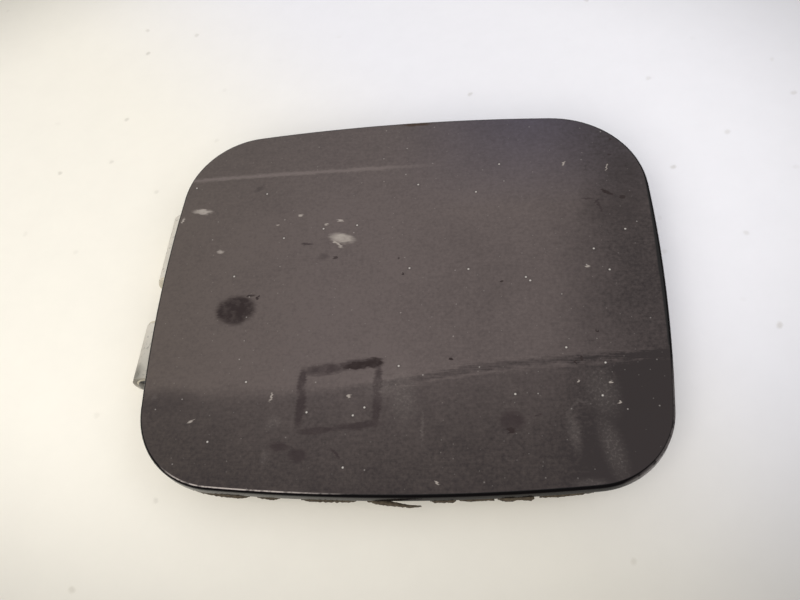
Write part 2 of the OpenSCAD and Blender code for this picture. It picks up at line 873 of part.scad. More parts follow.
// Side view of an ear, about the hinge line: a round top that runs down to the foot
module ear_profile() {
    toe = [ear_root, foot_t - axis_z];
    reach = norm(toe);
    aim = atan2(-toe[1], -toe[0]) - asin(ear_r / reach);
    touch = toe + sqrt(reach * reach - ear_r * ear_r) * [cos(aim), sin(aim)];
    circle(r = ear_r);
    polygon([[-ear_r, 0], [-ear_r, foot_t / 2 - axis_z], [ear_root, foot_t / 2 - axis_z], toe, touch, [0, 0]]);
}

rib_top = axis_z - coil_r - wire_r - leg_gap;
rib_x = axis_x + base_leg_l - rib_t - leg_past;

module hinge_base() {
    color([0.55, 0.55, 0.55])
        difference() {
            union() {
                linear_extrude(foot_t)
                    polygon(rounded([
                        [axis_x - foot_back, -foot_l / 2, foot_corner_r],
                        [foot_front, -foot_l / 2, foot_corner_r],
                        [foot_front, foot_l / 2, foot_corner_r],
                        [axis_x - foot_back, foot_l / 2, foot_corner_r]
                    ]));
                for (side = [-1, 1])
                    translate([0, side * bolt_spacing / 2, 0])
                        cylinder(
                            r1 = bolt_hole_r + boss_wall + boss_draft,
                            r2 = bolt_hole_r + boss_wall,
                            h = foot_t + boss_h
                        );
                translate([axis_x, 0, axis_z]) {
                    along_hinge(ear_in, ear_out)
                        ear_profile();
                    along_hinge(-ear_out, -ear_in)
                        ear_profile();
                }
                translate([rib_x, -ear_out + ear_t / 2, foot_t / 2])
                    cube([rib_t, 2 * ear_out - ear_t, rib_top - foot_t / 2]);
                for (side = [0, 1])
                    mirror([0, side, 0])
                        translate([rib_x, 0, 0])
                            rotate([90, 0, 90])
                                linear_extrude(rib_t)
                                    polygon([
                                        [ear_in + ear_t / 2, foot_t / 2],
                                        [ear_out + gusset_w, foot_t / 2],
                                        [ear_out + gusset_w, foot_t],
                                        [ear_out, foot_t + gusset_h],
                                        [ear_in + ear_t / 2, foot_t + gusset_h]
                                    ]);
            }
            for (side = [-1, 1])
                translate([0, side * bolt_spacing / 2, -foot_t])
                    cylinder(r = bolt_hole_r, h = 3 * foot_t + boss_h);
            on_axis()
                translate([0, 0, -2 * ear_out])
                    cylinder(r = pin_r + press_gap, h = 4 * ear_out);
        }
}

// Ring of the wire's section: centre, outward direction in X and Z
function wire_ring(c, out) =
    [for (a = [0 : 45 : 315]) c + wire_r * (cos(a) * out + sin(a) * [0, 1, 0])];

module torsion_spring() {
    sweep = 180 + 360 * coil_turns;
    steps = sweep / 20;
    room = 2 * (ear_in - wire_r - side_gap);
    length = min(room, (2 * wire_r + turn_gap) * (coil_turns + 0.5));
    arm_leg_z = leaf_z - axis_z - wire_r - leg_gap;
    helix = [
        for (i = [0 : steps])
            let (a = -90 - sweep * i / steps, out = [cos(a), 0, sin(a)])
            wire_ring(coil_r * out + [0, length * (i / steps - 0.5), 0], out)
    ];
    color([0.35, 0.35, 0.36])
        translate([axis_x, 0, axis_z])
            ring_solid(concat(
                [wire_ring([base_leg_l, -length / 2, -coil_r], [0, 0, -1])],
                helix,
                [wire_ring([arm_leg_l, length / 2, arm_leg_z], [0, 0, 1])]
            ));
}

striker_x = door_x + door_w / 2 - striker_setback;
STRIKER_RIVETS = [
    for (side = [-1, 1])
        [striker_x - striker_flange_l + striker_rivet_in, striker_y + side * striker_rivet_spacing / 2]
];

// Side view of the striker: flange, fold and leg
module striker_profile() {
    bend = striker_bend_r + striker_t;
    polygon(rounded([
        [-striker_flange_l, web_z, 0],
        [-striker_flange_l, web_z - striker_t, 0],
        [-striker_t, web_z - striker_t, striker_bend_r],
        [-striker_t, 0, 0],
        [0, 0, 0],
        [0, web_z, bend]
    ]));
}

module latch_striker() {
    color([0.62, 0.58, 0.42])
        difference() {
            intersection() {
                translate([striker_x, striker_y, 0])
                    along_hinge(-striker_w / 2, striker_w / 2)
                        striker_profile();
                translate([striker_x - striker_flange_l, striker_y, 0])
                    rotate([90, 0, 90])
                        linear_extrude(striker_flange_l)
                            polygon(rounded([
                                [-striker_w / 2, web_z, 0],
                                [-striker_w / 2, web_z - 2 * striker_t, striker_corner_r],
                                [-striker_foot_w / 2, 0, striker_corner_r],
                                [striker_foot_w / 2, 0, striker_corner_r],
                                [striker_w / 2, web_z - 2 * striker_t, striker_corner_r],
                                [striker_w / 2, web_z, 0]
                            ]));
            }
            translate([striker_x - 2 * striker_t, striker_y, latch_eye_z])
                rotate([0, 90, 0])
                    cylinder(r = latch_eye_r, h = 3 * striker_t);
            translate([0, 0, web_z - 2 * striker_t])
                rivet_holes(STRIKER_RIVETS, 3 * striker_t);
        }
}

module striker_rivets() {
    color([0.62, 0.61, 0.6])
        for (p = STRIKER_RIVETS)
            translate([p[0], p[1], web_z - striker_t])
                rivet(striker_t + panel_t);
}

module bumper(p) {
    color([0.1, 0.1, 0.1])
        at_door()
            translate([p[0], p[1], web_z])
                rotate_extrude()
                    polygon([
                        [0, -bumper_h],
                        [bumper_r - bumper_slope, -bumper_h],
                        [bumper_r - bumper_slope / 3, -bumper_h + bumper_slope / 3],
                        [bumper_r, -bumper_h + bumper_slope],
                        [bumper_r, 0],
                        [bumper_neck_r, 0],
                        [bumper_neck_r, panel_t],
                        [bumper_barb_r, panel_t],
                        [bumper_barb_r - bumper_slope, panel_t + bumper_barb_h],
                        [0, panel_t + bumper_barb_h]
                    ]);
}

module bumper_hinge_near() {
    bumper(BUMPERS[0]);
}

module bumper_hinge_far() {
    bumper(BUMPERS[1]);
}

module bumper_free_near() {
    bumper(BUMPERS[2]);
}

module bumper_free_far() {
    bumper(BUMPERS[3]);
}

// Side view of one finger, with a lip at its tip
module finger_profile() {
    root = holder_slot_w / 2;
    polygon([
        [root, 0],
        [root, -finger_h + 5 * finger_lip],
        [root - finger_lip, -finger_h + 2 * finger_lip],
        [root, -finger_h],
        [root + finger_t - finger_lip, -finger_h],
        [root + finger_t, 0]
    ]);
}

module cap_holder() {
    plate_z = dish_z - holder_t;
    color([0.16, 0.16, 0.17])
        at_door() {
            translate([0, 0, plate_z])
                linear_extrude(holder_t)
                    polygon(rounded([
                        for (c = [[-1, -1], [1, -1], [1, 1], [-1, 1]])
                            [c[0] * holder_w / 2, c[1] * holder_l / 2, holder_corner_r]
                    ]));
            for (side = [0, 1])
                mirror([side, 0, 0])
                    translate([0, 0, plate_z])
                        along_hinge(-finger_l / 2, finger_l / 2)
                            finger_profile();
            for (side = [-1, 1])
                translate([side * peg_x, 0, dish_z])
                    rotate_extrude()
                        polygon([
                            [0, 0],
                            [peg_r, 0],
                            [peg_r, panel_t],
                            [peg_r + peg_barb_out, panel_t],
                            [peg_r - peg_tip_in, panel_t + peg_barb_h],
                            [0, panel_t + peg_barb_h]
                        ]);
        }
}

outer_skin();
inner_panel();
hem_sealer();
mastic_dabs();
hinge_arm();
arm_rivets();
bush_upper();
bush_lower();
hinge_base();
hinge_pin();
pin_clip();
torsion_spring();
latch_striker();
striker_rivets();
cap_holder();
bumper_hinge_far();
bumper_hinge_near();
bumper_free_far();
bumper_free_near();
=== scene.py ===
# A used car fuel door, lying face up on a pale table with its hinge to the left.
import math

import bmesh
import bpy
from mathutils import Matrix, Vector, noise


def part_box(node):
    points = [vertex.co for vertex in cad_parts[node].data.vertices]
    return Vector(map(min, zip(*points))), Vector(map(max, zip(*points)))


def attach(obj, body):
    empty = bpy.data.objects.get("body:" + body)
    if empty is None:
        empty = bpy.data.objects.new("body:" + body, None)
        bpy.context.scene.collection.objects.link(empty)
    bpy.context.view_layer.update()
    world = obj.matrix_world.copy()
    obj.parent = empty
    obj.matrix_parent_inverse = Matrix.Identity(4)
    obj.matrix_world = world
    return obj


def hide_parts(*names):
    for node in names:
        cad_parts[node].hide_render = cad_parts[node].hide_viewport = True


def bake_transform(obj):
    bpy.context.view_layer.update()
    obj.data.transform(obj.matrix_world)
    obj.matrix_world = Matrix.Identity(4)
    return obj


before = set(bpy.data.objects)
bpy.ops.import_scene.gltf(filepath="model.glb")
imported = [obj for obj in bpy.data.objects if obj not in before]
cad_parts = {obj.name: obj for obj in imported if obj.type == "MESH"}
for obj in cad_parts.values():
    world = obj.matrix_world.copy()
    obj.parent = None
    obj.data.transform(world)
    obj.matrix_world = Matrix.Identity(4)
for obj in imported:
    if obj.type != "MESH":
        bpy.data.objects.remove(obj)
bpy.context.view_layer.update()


# Camera
# It stands over the near edge of the door, right of its middle, and looks down on the face. Its
# place is measured in mm from the middle of the face, square to the door's own outline. The door
# stands at a small angle to the hinge line, so the outline has a frame of its own.
MM = 0.001
DOOR_MIDDLE = (65.361, 1.431)
DOOR_YAW = math.radians(2.2)
HEM_DEPTH = 5.2
CAMERA_PLACE = (42.92, -145.64, 243.1)
CAMERA_TURN = (29.97, 8.58, 2.50)
SENSOR = 36.0
LENS = 37.35
SEES_FROM = 10.0

HEM_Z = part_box("outer_skin")[0].z / MM
FACE_Z = HEM_Z + HEM_DEPTH
door_frame = (
    Matrix.Translation((DOOR_MIDDLE[0] * MM, DOOR_MIDDLE[1] * MM, 0))
    @ Matrix.Rotation(DOOR_YAW, 4, "Z")
    @ Matrix.Scale(MM, 4)
)

camera = bpy.data.objects.new("camera", bpy.data.cameras.new("camera"))
bpy.context.collection.objects.link(camera)
camera.data.sensor_width = SENSOR
camera.data.lens = LENS
camera.data.clip_start = SEES_FROM * MM
camera.location = door_frame @ (Vector(CAMERA_PLACE) + Vector((0, 0, FACE_Z)))
camera.rotation_euler = [math.radians(a) for a in CAMERA_TURN]
camera.rotation_euler.z += DOOR_YAW
bpy.context.scene.camera = camera
bpy.context.scene.view_settings.view_transform = "Standard"


# Table and light
# A white laminate table top, a little dirty. Painted light lies on it: a painted warm tint of
# light at one side that turns to a painted cool tint, and a painted pool of light, dimmer away
# from its middle. A wide soft lamp stands on the viewer's side and a weak cool one at the right.
# The ceiling is white, and the walls are dark in a reflection, so a bent edge shows a dark band.
TABLE_HALF = 4.0
TABLE_WHITE_WARM_LIT = "#FFFAEE"
TABLE_WHITE_COOL_LIT = "#F7F6FB"
# The painted warm tint of light turns to a painted cool one along this way, between these two
# distances in mm
COOL_WAY = (1.0, 0.9, 0.0)
COOL_FROM, COOL_TO = -40.0, 110.0
# The pool of light is an oval, in mm, that fades between two shares of its size
POOL_MIDDLE = (-58.0, 68.0)
POOL_SIZE = (294.0, 204.0)
POOL_EDGE = (0.54, 1.21)
POOL_DIM = 0.35
# Specks of dirt lie in cells of this spacing in mm, and their radius is a share of it
DIRT = "#A49C8C"
DIRT_SPACING = 26.0
DIRT_R = (0.055, 0.02)
DIRT_RIPPLE = 6.0
DIRT_BEND = 3.0
CLOUD_SIZE = 14.0
CLOUD_DIM = 0.975
ROOM_LIGHT = 0.55
WALL_LIGHT = 0.06
CEILING_WAY = (-0.25, 0.45, 1.0)
CEILING_EDGE = (0.45, 0.85)
# Each lamp has its place and width in metres, its watts and its colour
KEY_LAMP = ((0.0, -0.62, 0.85), 0.9, 7.0, "#FFFBF4")
COOL_LAMP = ((0.75, -0.10, 0.75), 0.6, 1.45, "#E8EFFF")


def linear(colour):
    """An sRGB hex colour as linear red, green, blue and alpha."""
    parts = [int(colour[i:i + 2], 16) / 255 for i in (1, 3, 5)]
    return (*[c / 12.92 if c <= 0.04045 else ((c + 0.055) / 1.055) ** 2.4 for c in parts], 1.0)


def add(tree, kind, inputs=None, out=0, **settings):
    """Adds one node with its settings and links, and returns one of its outputs."""
    made = tree.nodes.new("ShaderNode" + kind)
    for name, value in settings.items():
        setattr(made, name, value)
    for key, value in (inputs or {}).items():
        if isinstance(value, bpy.types.NodeSocket):
            tree.links.new(value, made.inputs[key])
        else:
            made.inputs[key].default_value = value
    return made.outputs[out]


def new_material(name, fixed):
    """A material with a Principled shader. Its fixed numbers are set on the shader's own sockets."""
    made = bpy.data.materials.new(name)
    made.use_nodes = True
    shader = made.node_tree.nodes["Principled BSDF"]
    for key, value in fixed.items():
        shader.inputs[key].default_value = value
    return made, made.node_tree, shader


def on_door(tree):
    """The place in mm from the middle of the door: x along its width, y away from the viewer."""
    place = add(
        tree, "Mapping",
        {
            "Vector": add(tree, "TexCoord", out="Object"),
            "Location": (DOOR_MIDDLE[0] * MM, DOOR_MIDDLE[1] * MM, 0),
            "Rotation": (0, 0, DOOR_YAW),
            "Scale": (MM, MM, MM),
        },
        vector_type="TEXTURE",
    )
    return add(tree, "VectorMath", {0: place, 1: (1, 1, 0)}, operation="MULTIPLY")


def new_piece(name, vertices, faces):
    """A smooth mesh piece from points in metres, with its normals turned outwards."""
    mesh = bpy.data.meshes.new(name)
    mesh.from_pydata(vertices, [], faces)
    work = bmesh.new()
    work.from_mesh(mesh)
    bmesh.ops.recalc_face_normals(work, faces=work.faces)
    for face in work.faces:
        face.smooth = True
    work.to_mesh(mesh)
    work.free()
    piece = bpy.data.objects.new(name, mesh)
    bpy.context.collection.objects.link(piece)
    return piece


# Melamine laminate pressed under a satin plate: a flat, even white without any shine. What gives
# it away as used are the specks of dirt and the faint clouds. The painted warm and cool tints of
# light and the painted pool of light lie over the white.
laminate, tree, shader = new_material("white_pressed_laminate", {"Roughness": 0.6})
place = on_door(tree)
# Painted light: the warm tint of light that turns cool across the table
cool = add(tree, "VectorMath", {0: place, 1: COOL_WAY}, out="Value", operation="DOT_PRODUCT")
cool = add(
    tree, "MapRange",
    {"Value": cool, "From Min": COOL_FROM, "From Max": COOL_TO},
    interpolation_type="SMOOTHSTEP",
)
tint = add(
    tree, "Mix",
    {0: cool, 6: linear(TABLE_WHITE_WARM_LIT), 7: linear(TABLE_WHITE_COOL_LIT)},
    out=2, data_type="RGBA",
)
# Painted light: the pool of light, dimmer away from its middle
pool = add(
    tree, "Mapping",
    {"Vector": place, "Location": (*POOL_MIDDLE, 0), "Scale": (*POOL_SIZE, 1)},
    vector_type="TEXTURE",
)
pool = add(tree, "VectorMath", {0: pool}, out="Value", operation="LENGTH")
pool = add(
    tree, "MapRange",
    {
        "Value": pool, "From Min": POOL_EDGE[0], "From Max": POOL_EDGE[1],
        "To Min": 1.0, "To Max": POOL_DIM,
    },
    interpolation_type="SMOOTHSTEP",
)
tint = add(tree, "VectorMath", {0: tint, "Scale": pool}, operation="SCALE")
bent = add(tree, "TexNoise", {"Vector": place, "Scale": 1 / DIRT_RIPPLE, "Detail": 3.0}, out="Color")
bent = add(
    tree, "VectorMath",
    {0: bent, 1: (DIRT_BEND, DIRT_BEND, 0), 2: place},
    operation="MULTIPLY_ADD",
)
dirt = add(
    tree, "TexVoronoi",
    {"Vector": bent, "Scale": 1 / DIRT_SPACING},
    out="Distance", voronoi_dimensions="2D",
)
chance = add(tree, "SeparateXYZ", {"Vector": tree.nodes[-1].outputs["Color"]})
chance = add(tree, "MapRange", {"Value": chance, "From Min": 0.5, "From Max": 1.0, "To Max": 0.35})
dirt = add(tree, "MapRange", {"Value": dirt, "From Min": DIRT_R[0], "From Max": DIRT_R[1]})
dirt = add(tree, "Math", {0: dirt, 1: chance}, operation="MULTIPLY")
tint = add(tree, "Mix", {0: dirt, 6: tint, 7: linear(DIRT)}, out=2, data_type="RGBA")
clouds = add(
    tree, "TexNoise",
    {"Vector": bent, "Scale": 1 / CLOUD_SIZE, "Detail": 6.0, "Roughness": 0.7},
)
clouds = add(
    tree, "MapRange",
    {"Value": clouds, "From Min": 0.3, "From Max": 0.7, "To Min": CLOUD_DIM, "To Max": 1.0},
)
tint = add(tree, "VectorMath", {0: tint, "Scale": clouds}, operation="SCALE")
tree.links.new(tint, shader.inputs["Base Color"])
table = new_piece(
    "table",
    [(sx * TABLE_HALF, sy * TABLE_HALF, 0) for sx, sy in ((-1, -1), (1, -1), (1, 1), (-1, 1))],
    [(0, 1, 2, 3)],
)
table.data.materials.append(laminate)

room = bpy.data.worlds.new("white_room")
room.use_nodes = True
bpy.context.scene.world = room
tree = room.node_tree
tree.nodes.clear()
mirrored = add(tree, "LightPath", out="Is Glossy Ray")
path = tree.nodes[-1]
height = add(
    tree, "VectorMath",
    {0: add(tree, "TexCoord", out="Generated"), 1: CEILING_WAY},
    out="Value", operation="DOT_PRODUCT",
)
ceiling = add(
    tree, "MapRange",
    {
        "Value": height, "From Min": CEILING_EDGE[0], "From Max": CEILING_EDGE[1],
        "To Min": WALL_LIGHT,
    },
    interpolation_type="SMOOTHSTEP",
)
strength = add(tree, "Mix", {0: mirrored, 2: ROOM_LIGHT, 3: ceiling})
for ray in ("Is Camera Ray", "Is Transmission Ray"):
    strength = add(tree, "Math", {0: strength, 1: path.outputs[ray]}, operation="MAXIMUM")
lit = add(tree, "Background", {"Color": linear("#FFFFFF"), "Strength": strength})
world_output = tree.nodes.new("ShaderNodeOutputWorld")
tree.links.new(lit, world_output.inputs["Surface"])

for name, (spot, size, power, colour) in {"key_lamp": KEY_LAMP, "cool_lamp": COOL_LAMP}.items():
    lamp = bpy.data.objects.new(name, bpy.data.lights.new(name, "AREA"))
    bpy.context.collection.objects.link(lamp)
    lamp.data.size = size
    lamp.data.energy = power
    lamp.data.color = linear(colour)[:3]
    lamp.location = spot
    aim = Vector((DOOR_MIDDLE[0] * MM, DOOR_MIDDLE[1] * MM, FACE_Z * MM)) - Vector(spot)
    lamp.rotation_euler = aim.to_track_quat("-Z", "Y").to_euler()
    lamp.visible_glossy = False


# Outer skin
# The face that matches the car's side: one deep-drawn steel sheet, slightly crowned, bent down
# round the edge and folded in to a hem. Sprayed dark enamel, dull and dusty on the flat face.
DOOR_SIZE = (176.5, 148.0)
# The radii of the bulged sides and edges, and of the corners from the far free one round
BULGE = (540.0, 690.0)
CORNER_R = (36.0, 30.0, 30.0, 26.0)
CROWN = 1.92
SKIN_T = 0.8
BEND_R = 1.2
FOLD_R = 1.2
HEM_W = 8.0
OUTLINE_STEPS = (12, 20, 14)
CROWN_STEPS = 16
BEND_STEPS = 10


def quarter(corner_r, inset):
    """One quarter of the outline, from the middle of a side to the middle of an edge, in mm."""
    width, height = DOOR_SIZE
    side_r, edge_r = BULGE
    side = Vector((width / 2 - side_r, 0))
    edge = Vector((0, height / 2 - edge_r))
    near, far = side_r - corner_r, edge_r - corner_r
    apart = (edge - side).length
    along = (near ** 2 - far ** 2 + apart ** 2) / (2 * apart)
    way = (edge - side).normalized()
    corner = side + along * way + math.sqrt(near ** 2 - along ** 2) * Vector((-way.y, way.x))
    from_turn = math.atan2(corner.y, corner.x - side.x)
    to_turn = math.atan2(corner.y - edge.y, corner.x)
    arcs = (
        (side, side_r, 0.0, from_turn),
        (corner, corner_r, from_turn, to_turn),
        (edge, edge_r, to_turn, math.pi / 2),
    )
    points = []
    for (centre, radius, start, end), steps in zip(arcs, OUTLINE_STEPS):
        for i in range(steps):
            turn = start + (end - start) * i / steps
            points.append(centre + (radius - inset) * Vector((math.cos(turn), math.sin(turn))))
    return [*points, Vector((0, height / 2 - inset))]


def outline(inset):
    """Closed outline of four bulged sides and four unlike corners, set in by a distance."""
    free_far, hinge_far, hinge_near, free_near = [quarter(r, inset) for r in CORNER_R]
    points = free_far[:-1]
    points += [Vector((-p.x, p.y)) for p in reversed(hinge_far[1:])]
    points += [-p for p in hinge_near[:-1]]
    points += [Vector((p.x, -p.y)) for p in reversed(free_near[1:])]
    return points


def ring(inset, z, scale=1.0):
    """One ring of the door, in mm, ready for its place."""
    return [(p.x * scale, p.y * scale, z) for p in outline(inset)]


def skin_of_rings(name, rings, place, closed=False):
    """A piece that runs through rings, with flat ends, or with its last ring joined to its first."""
    count = len(rings[0])
    points = [place @ Vector(p) for one in rings for p in one]
    faces = []
    for k in range(len(rings) if closed else len(rings) - 1):
        a, b = k * count, (k + 1) % len(rings) * count
        for i in range(count):
            j = (i + 1) % count
            faces.append((a + i, a + j, b + j, b + i))
    if not closed:
        faces.append(tuple(range(count)))
        faces.append(tuple(range(len(points) - count, len(points))))
    return new_piece(name, points, faces)


def crown_ring(scale, down):
    """Ring of the crowned face, scaled towards its middle."""
    return ring(BEND_R, FACE_Z + CROWN * (1 - scale ** 2) - down, scale)


def bend_ring(turn, down):
    """Ring on the bend between the face and the flange."""
    radius = BEND_R - down
    return ring(BEND_R - radius * math.sin(turn), FACE_Z - BEND_R + radius * math.cos(turn))


def fold_ring(turn, down):
    """Ring on the fold at the foot of the flange."""
    radius = FOLD_R - down
    return ring(FOLD_R - radius * math.cos(turn), HEM_Z + FOLD_R - radius * math.sin(turn))


shares = [k / CROWN_STEPS for k in range(1, CROWN_STEPS + 1)]
turns = [math.pi / 2 * k / BEND_STEPS for k in range(1, BEND_STEPS + 1)]
rings = [crown_ring(s, 0) for s in shares]
rings += [bend_ring(a, 0) for a in turns]
rings += [fold_ring(a, 0) for a in [0, *turns]]
rings += [ring(HEM_W, HEM_Z), ring(HEM_W, HEM_Z + SKIN_T)]
rings += [fold_ring(a, SKIN_T) for a in [*reversed(turns), 0]]
rings += [bend_ring(a, SKIN_T) for a in reversed(turns)]
rings += [crown_ring(s, SKIN_T) for s in reversed(shares)]
skin = skin_of_rings("painted_skin", rings, door_frame)

# Enamel sprayed over primer: deep and glossy where it is bare, with a little orange peel. On the
# flat face a film of dust hides the gloss and turns the coat brownish grey. Reflections of the room
# are painted into the colour as well: a dark zone, a pale line, dark marks, a highlight and dark edges.
enamel, tree, shader = new_material("sprayed_dark_enamel", {"IOR": 1.5})
here = on_door(tree)

# Film of dust, with a painted dark reflection below a line across the face, and darker towards
# the free edge. The line's points are in mm from the middle of the face. Noise frays it and
# nibbles at it.
DUST_LIGHT = "#5E5452"
DUST_COOL = "#4E4854"
DUST_WARM = "#514840"
DARK_FILM_AND_REFLECTION = "#282121"
LINE = (
    (-90, -36.6), (-71.7, -37.9), (-50.0, -39.0), (-31.4, -39.0), (1.7, -35.8), (20.9, -32.5),
    (40.1, -30.2), (57.3, -29.1), (90, -27.2),
)
LINE_SPAN = (-45.0, -25.0)
RAGGED = (0.4, 1.4, 0.0)
FRAYED_BY = (2.4, 2.0, 0.0)
MOTTLE = 3.2
NIBBLE = 2.6

frayed = add(tree, "VectorMath", {0: here, 1: RAGGED}, operation="MULTIPLY")
frayed = add(tree, "TexNoise", {"Vector": frayed, "Scale": 1.0, "Detail": 3.0}, out="Color")
frayed = add(tree, "VectorMath", {0: frayed, 1: (0.5, 0.5, 0.5)}, operation="SUBTRACT")
wavy = add(tree, "VectorMath", {0: frayed, 1: FRAYED_BY, 2: here}, operation="MULTIPLY_ADD")
across = add(tree, "SeparateXYZ", {"Vector": wavy}, out="X")
away = tree.nodes[-1].outputs["Y"]

line = add(tree, "MapRange", {"Value": across, "From Min": LINE[0][0], "From Max": LINE[-1][0]})
line = add(tree, "FloatCurve", {"Value": line})
curve = tree.nodes[-1].mapping
drawn = curve.curves[0].points
for k, (x, y) in enumerate(LINE):
    share = (x - LINE[0][0]) / (LINE[-1][0] - LINE[0][0])
    height = (y - LINE_SPAN[0]) / (LINE_SPAN[1] - LINE_SPAN[0])
    if k == 0:
        drawn[0].location = (share, height)
    elif k == len(LINE) - 1:
        drawn[len(drawn) - 1].location = (share, height)
    else:
        drawn.new(share, height)
curve.update()
line = add(tree, "MapRange", {"Value": line, "To Min": LINE_SPAN[0], "To Max": LINE_SPAN[1]})
over = add(tree, "Math", {0: away, 1: line}, operation="SUBTRACT")
mottles = add(tree, "TexNoise", {"Vector": wavy, "Scale": 1 / MOTTLE, "Detail": 4.0, "Roughness": 0.65})
over = add(tree, "Math", {0: mottles, 1: NIBBLE, 2: over}, operation="MULTIPLY_ADD")
over = add(tree, "Math", {0: over, 1: NIBBLE / 2}, operation="SUBTRACT")

# The step of the painted reflection at the line is sharp at the right and softer towards the
# left. SOFT_TOP and SOFT_FOOT are where it starts and ends above the line, in mm: at the right,
# and how much more at the left. The painted dark reflection deepens well below the line, and the
# face also darkens towards the free and the far edge, and aside of the middle. Each span runs from
# no effect to the full one, in mm.
SOFT_X = (0.0, -55.0)
SOFT_TOP = (1.0, 2.4)
SOFT_FOOT = (-0.6, -5.0)
LOW_OVER = (-2.0, -40.0)
RIGHT_X = (42.0, 84.0)
FAR_Y = (30.0, 74.0)
ASIDE_X = (-4.0, 22.0)
ASIDE_Y = (38.0, 12.0)
ASIDE_OVER = (-3.0, 1.0)


def inside(tree, *limits):
    """How far a place lies inside all of some limits. Each runs from where it is 0 to where it is 1."""
    share = None
    for value, start, end in limits:
        ramp = add(tree, "MapRange", {"Value": value, "From Min": start, "From Max": end})
        share = ramp if share is None else add(tree, "Math", {0: share, 1: ramp}, operation="MULTIPLY")
    return share


left = add(tree, "MapRange", {"Value": across, "From Min": SOFT_X[0], "From Max": SOFT_X[1]})
soft_top = add(tree, "Math", {0: left, 1: SOFT_TOP[1], 2: SOFT_TOP[0]}, operation="MULTIPLY_ADD")
soft_foot = add(tree, "Math", {0: left, 1: SOFT_FOOT[1], 2: SOFT_FOOT[0]}, operation="MULTIPLY_ADD")
# Painted dark reflection below the line, and deeper well below it
below_line_reflection = add(
    tree, "MapRange",
    {"Value": over, "From Min": soft_top, "From Max": soft_foot},
    interpolation_type="SMOOTHSTEP",
)
low = add(tree, "MapRange", {"Value": over, "From Min": LOW_OVER[0], "From Max": LOW_OVER[1]})
right = add(
    tree, "MapRange",
    {"Value": across, "From Min": RIGHT_X[0], "From Max": RIGHT_X[1]},
    interpolation_type="SMOOTHSTEP",
)
far = add(tree, "MapRange", {"Value": away, "From Min": FAR_Y[0], "From Max": FAR_Y[1]})
aside = inside(tree, (across, *ASIDE_X), (away, *ASIDE_Y), (over, *ASIDE_OVER))

# Broad patches, fine streaks from wiping, small mottles and grit vary the film. At the line, where
# the painted dark reflection starts, it is drawn out into wisps, with a paler strip under them.
# Sizes are in mm.
PATCH = 22.0
STREAKED = (0.12, 1.9, 0.0)
GRIT = 1.2
WISPED = (0.14, 2.4, 0.0)
WISPS_FROM = (-12.0, 14.0)
WISP_DEPTH, WISP_HALF = 1.2, 3.6
STRIP_DEPTH, STRIP_HALF = 2.7, 0.9
FULL_SHARE = 0.3

patches = add(tree, "TexNoise", {"Vector": here, "Scale": 1 / PATCH, "Detail": 5.0, "Roughness": 0.6})
streaks = add(tree, "VectorMath", {0: here, 1: STREAKED}, operation="MULTIPLY")
streaks = add(tree, "TexNoise", {"Vector": streaks, "Scale": 1.0, "Detail": 2.0})
grit = add(tree, "TexNoise", {"Vector": here, "Scale": 1 / GRIT, "Detail": 3.0, "Roughness": 0.6})
wisps = add(tree, "VectorMath", {0: here, 1: WISPED}, operation="MULTIPLY")
wisps = add(tree, "TexNoise", {"Vector": wisps, "Scale": 1.0, "Detail": 4.0, "Roughness": 0.6})
wisps = add(tree, "Math", {0: wisps, 1: 0.5}, operation="SUBTRACT")
bands = []
for depth, half in ((WISP_DEPTH, WISP_HALF), (STRIP_DEPTH, STRIP_HALF)):
    off = add(tree, "Math", {0: over, 1: depth}, operation="ADD")
    off = add(tree, "Math", {0: off}, operation="ABSOLUTE")
    bands.append(inside(tree, (off, half, half * FULL_SHARE), (across, *WISPS_FROM)))
wisps = add(tree, "Math", {0: bands[0], 1: wisps}, operation="MULTIPLY")

# How much each of these darkens the face: the film thins, and below the line the painted dark
# reflection deepens. The start is set so that most of the face stays covered. The face is painted
# cooler towards the far free corner, and warmer at the left and low on the face.
THIN_START = -0.805
COOL_X = (-15.0, 50.0)
WARM_X = (-25.0, -90.0)
WARM_LEFT, WARM_LOW = 0.6, 0.5
thin_film_and_dark_reflection = add(tree, "Math", {0: patches, 1: 0.4, 2: THIN_START}, operation="MULTIPLY_ADD")
for cause, share in (
    (below_line_reflection, 0.46), (low, 0.34), (right, 0.62), (far, 0.2), (aside, 0.15),
    (streaks, 0.16), (mottles, 0.42), (grit, 0.75), (wisps, 1.5), (bands[1], -0.2),
):
    thin_film_and_dark_reflection = add(tree, "Math", {0: cause, 1: share, 2: thin_film_and_dark_reflection}, operation="MULTIPLY_ADD")

cool = add(
    tree, "MapRange",
    {"Value": across, "From Min": COOL_X[0], "From Max": COOL_X[1]},
    interpolation_type="SMOOTHSTEP",
)
cool = add(tree, "Math", {0: cool, 1: far}, operation="MULTIPLY")
warm = add(
    tree, "MapRange",
    {"Value": across, "From Min": WARM_X[0], "From Max": WARM_X[1], "To Max": WARM_LEFT},
)
warm = add(tree, "Math", {0: low, 1: WARM_LOW, 2: warm}, operation="MULTIPLY_ADD")

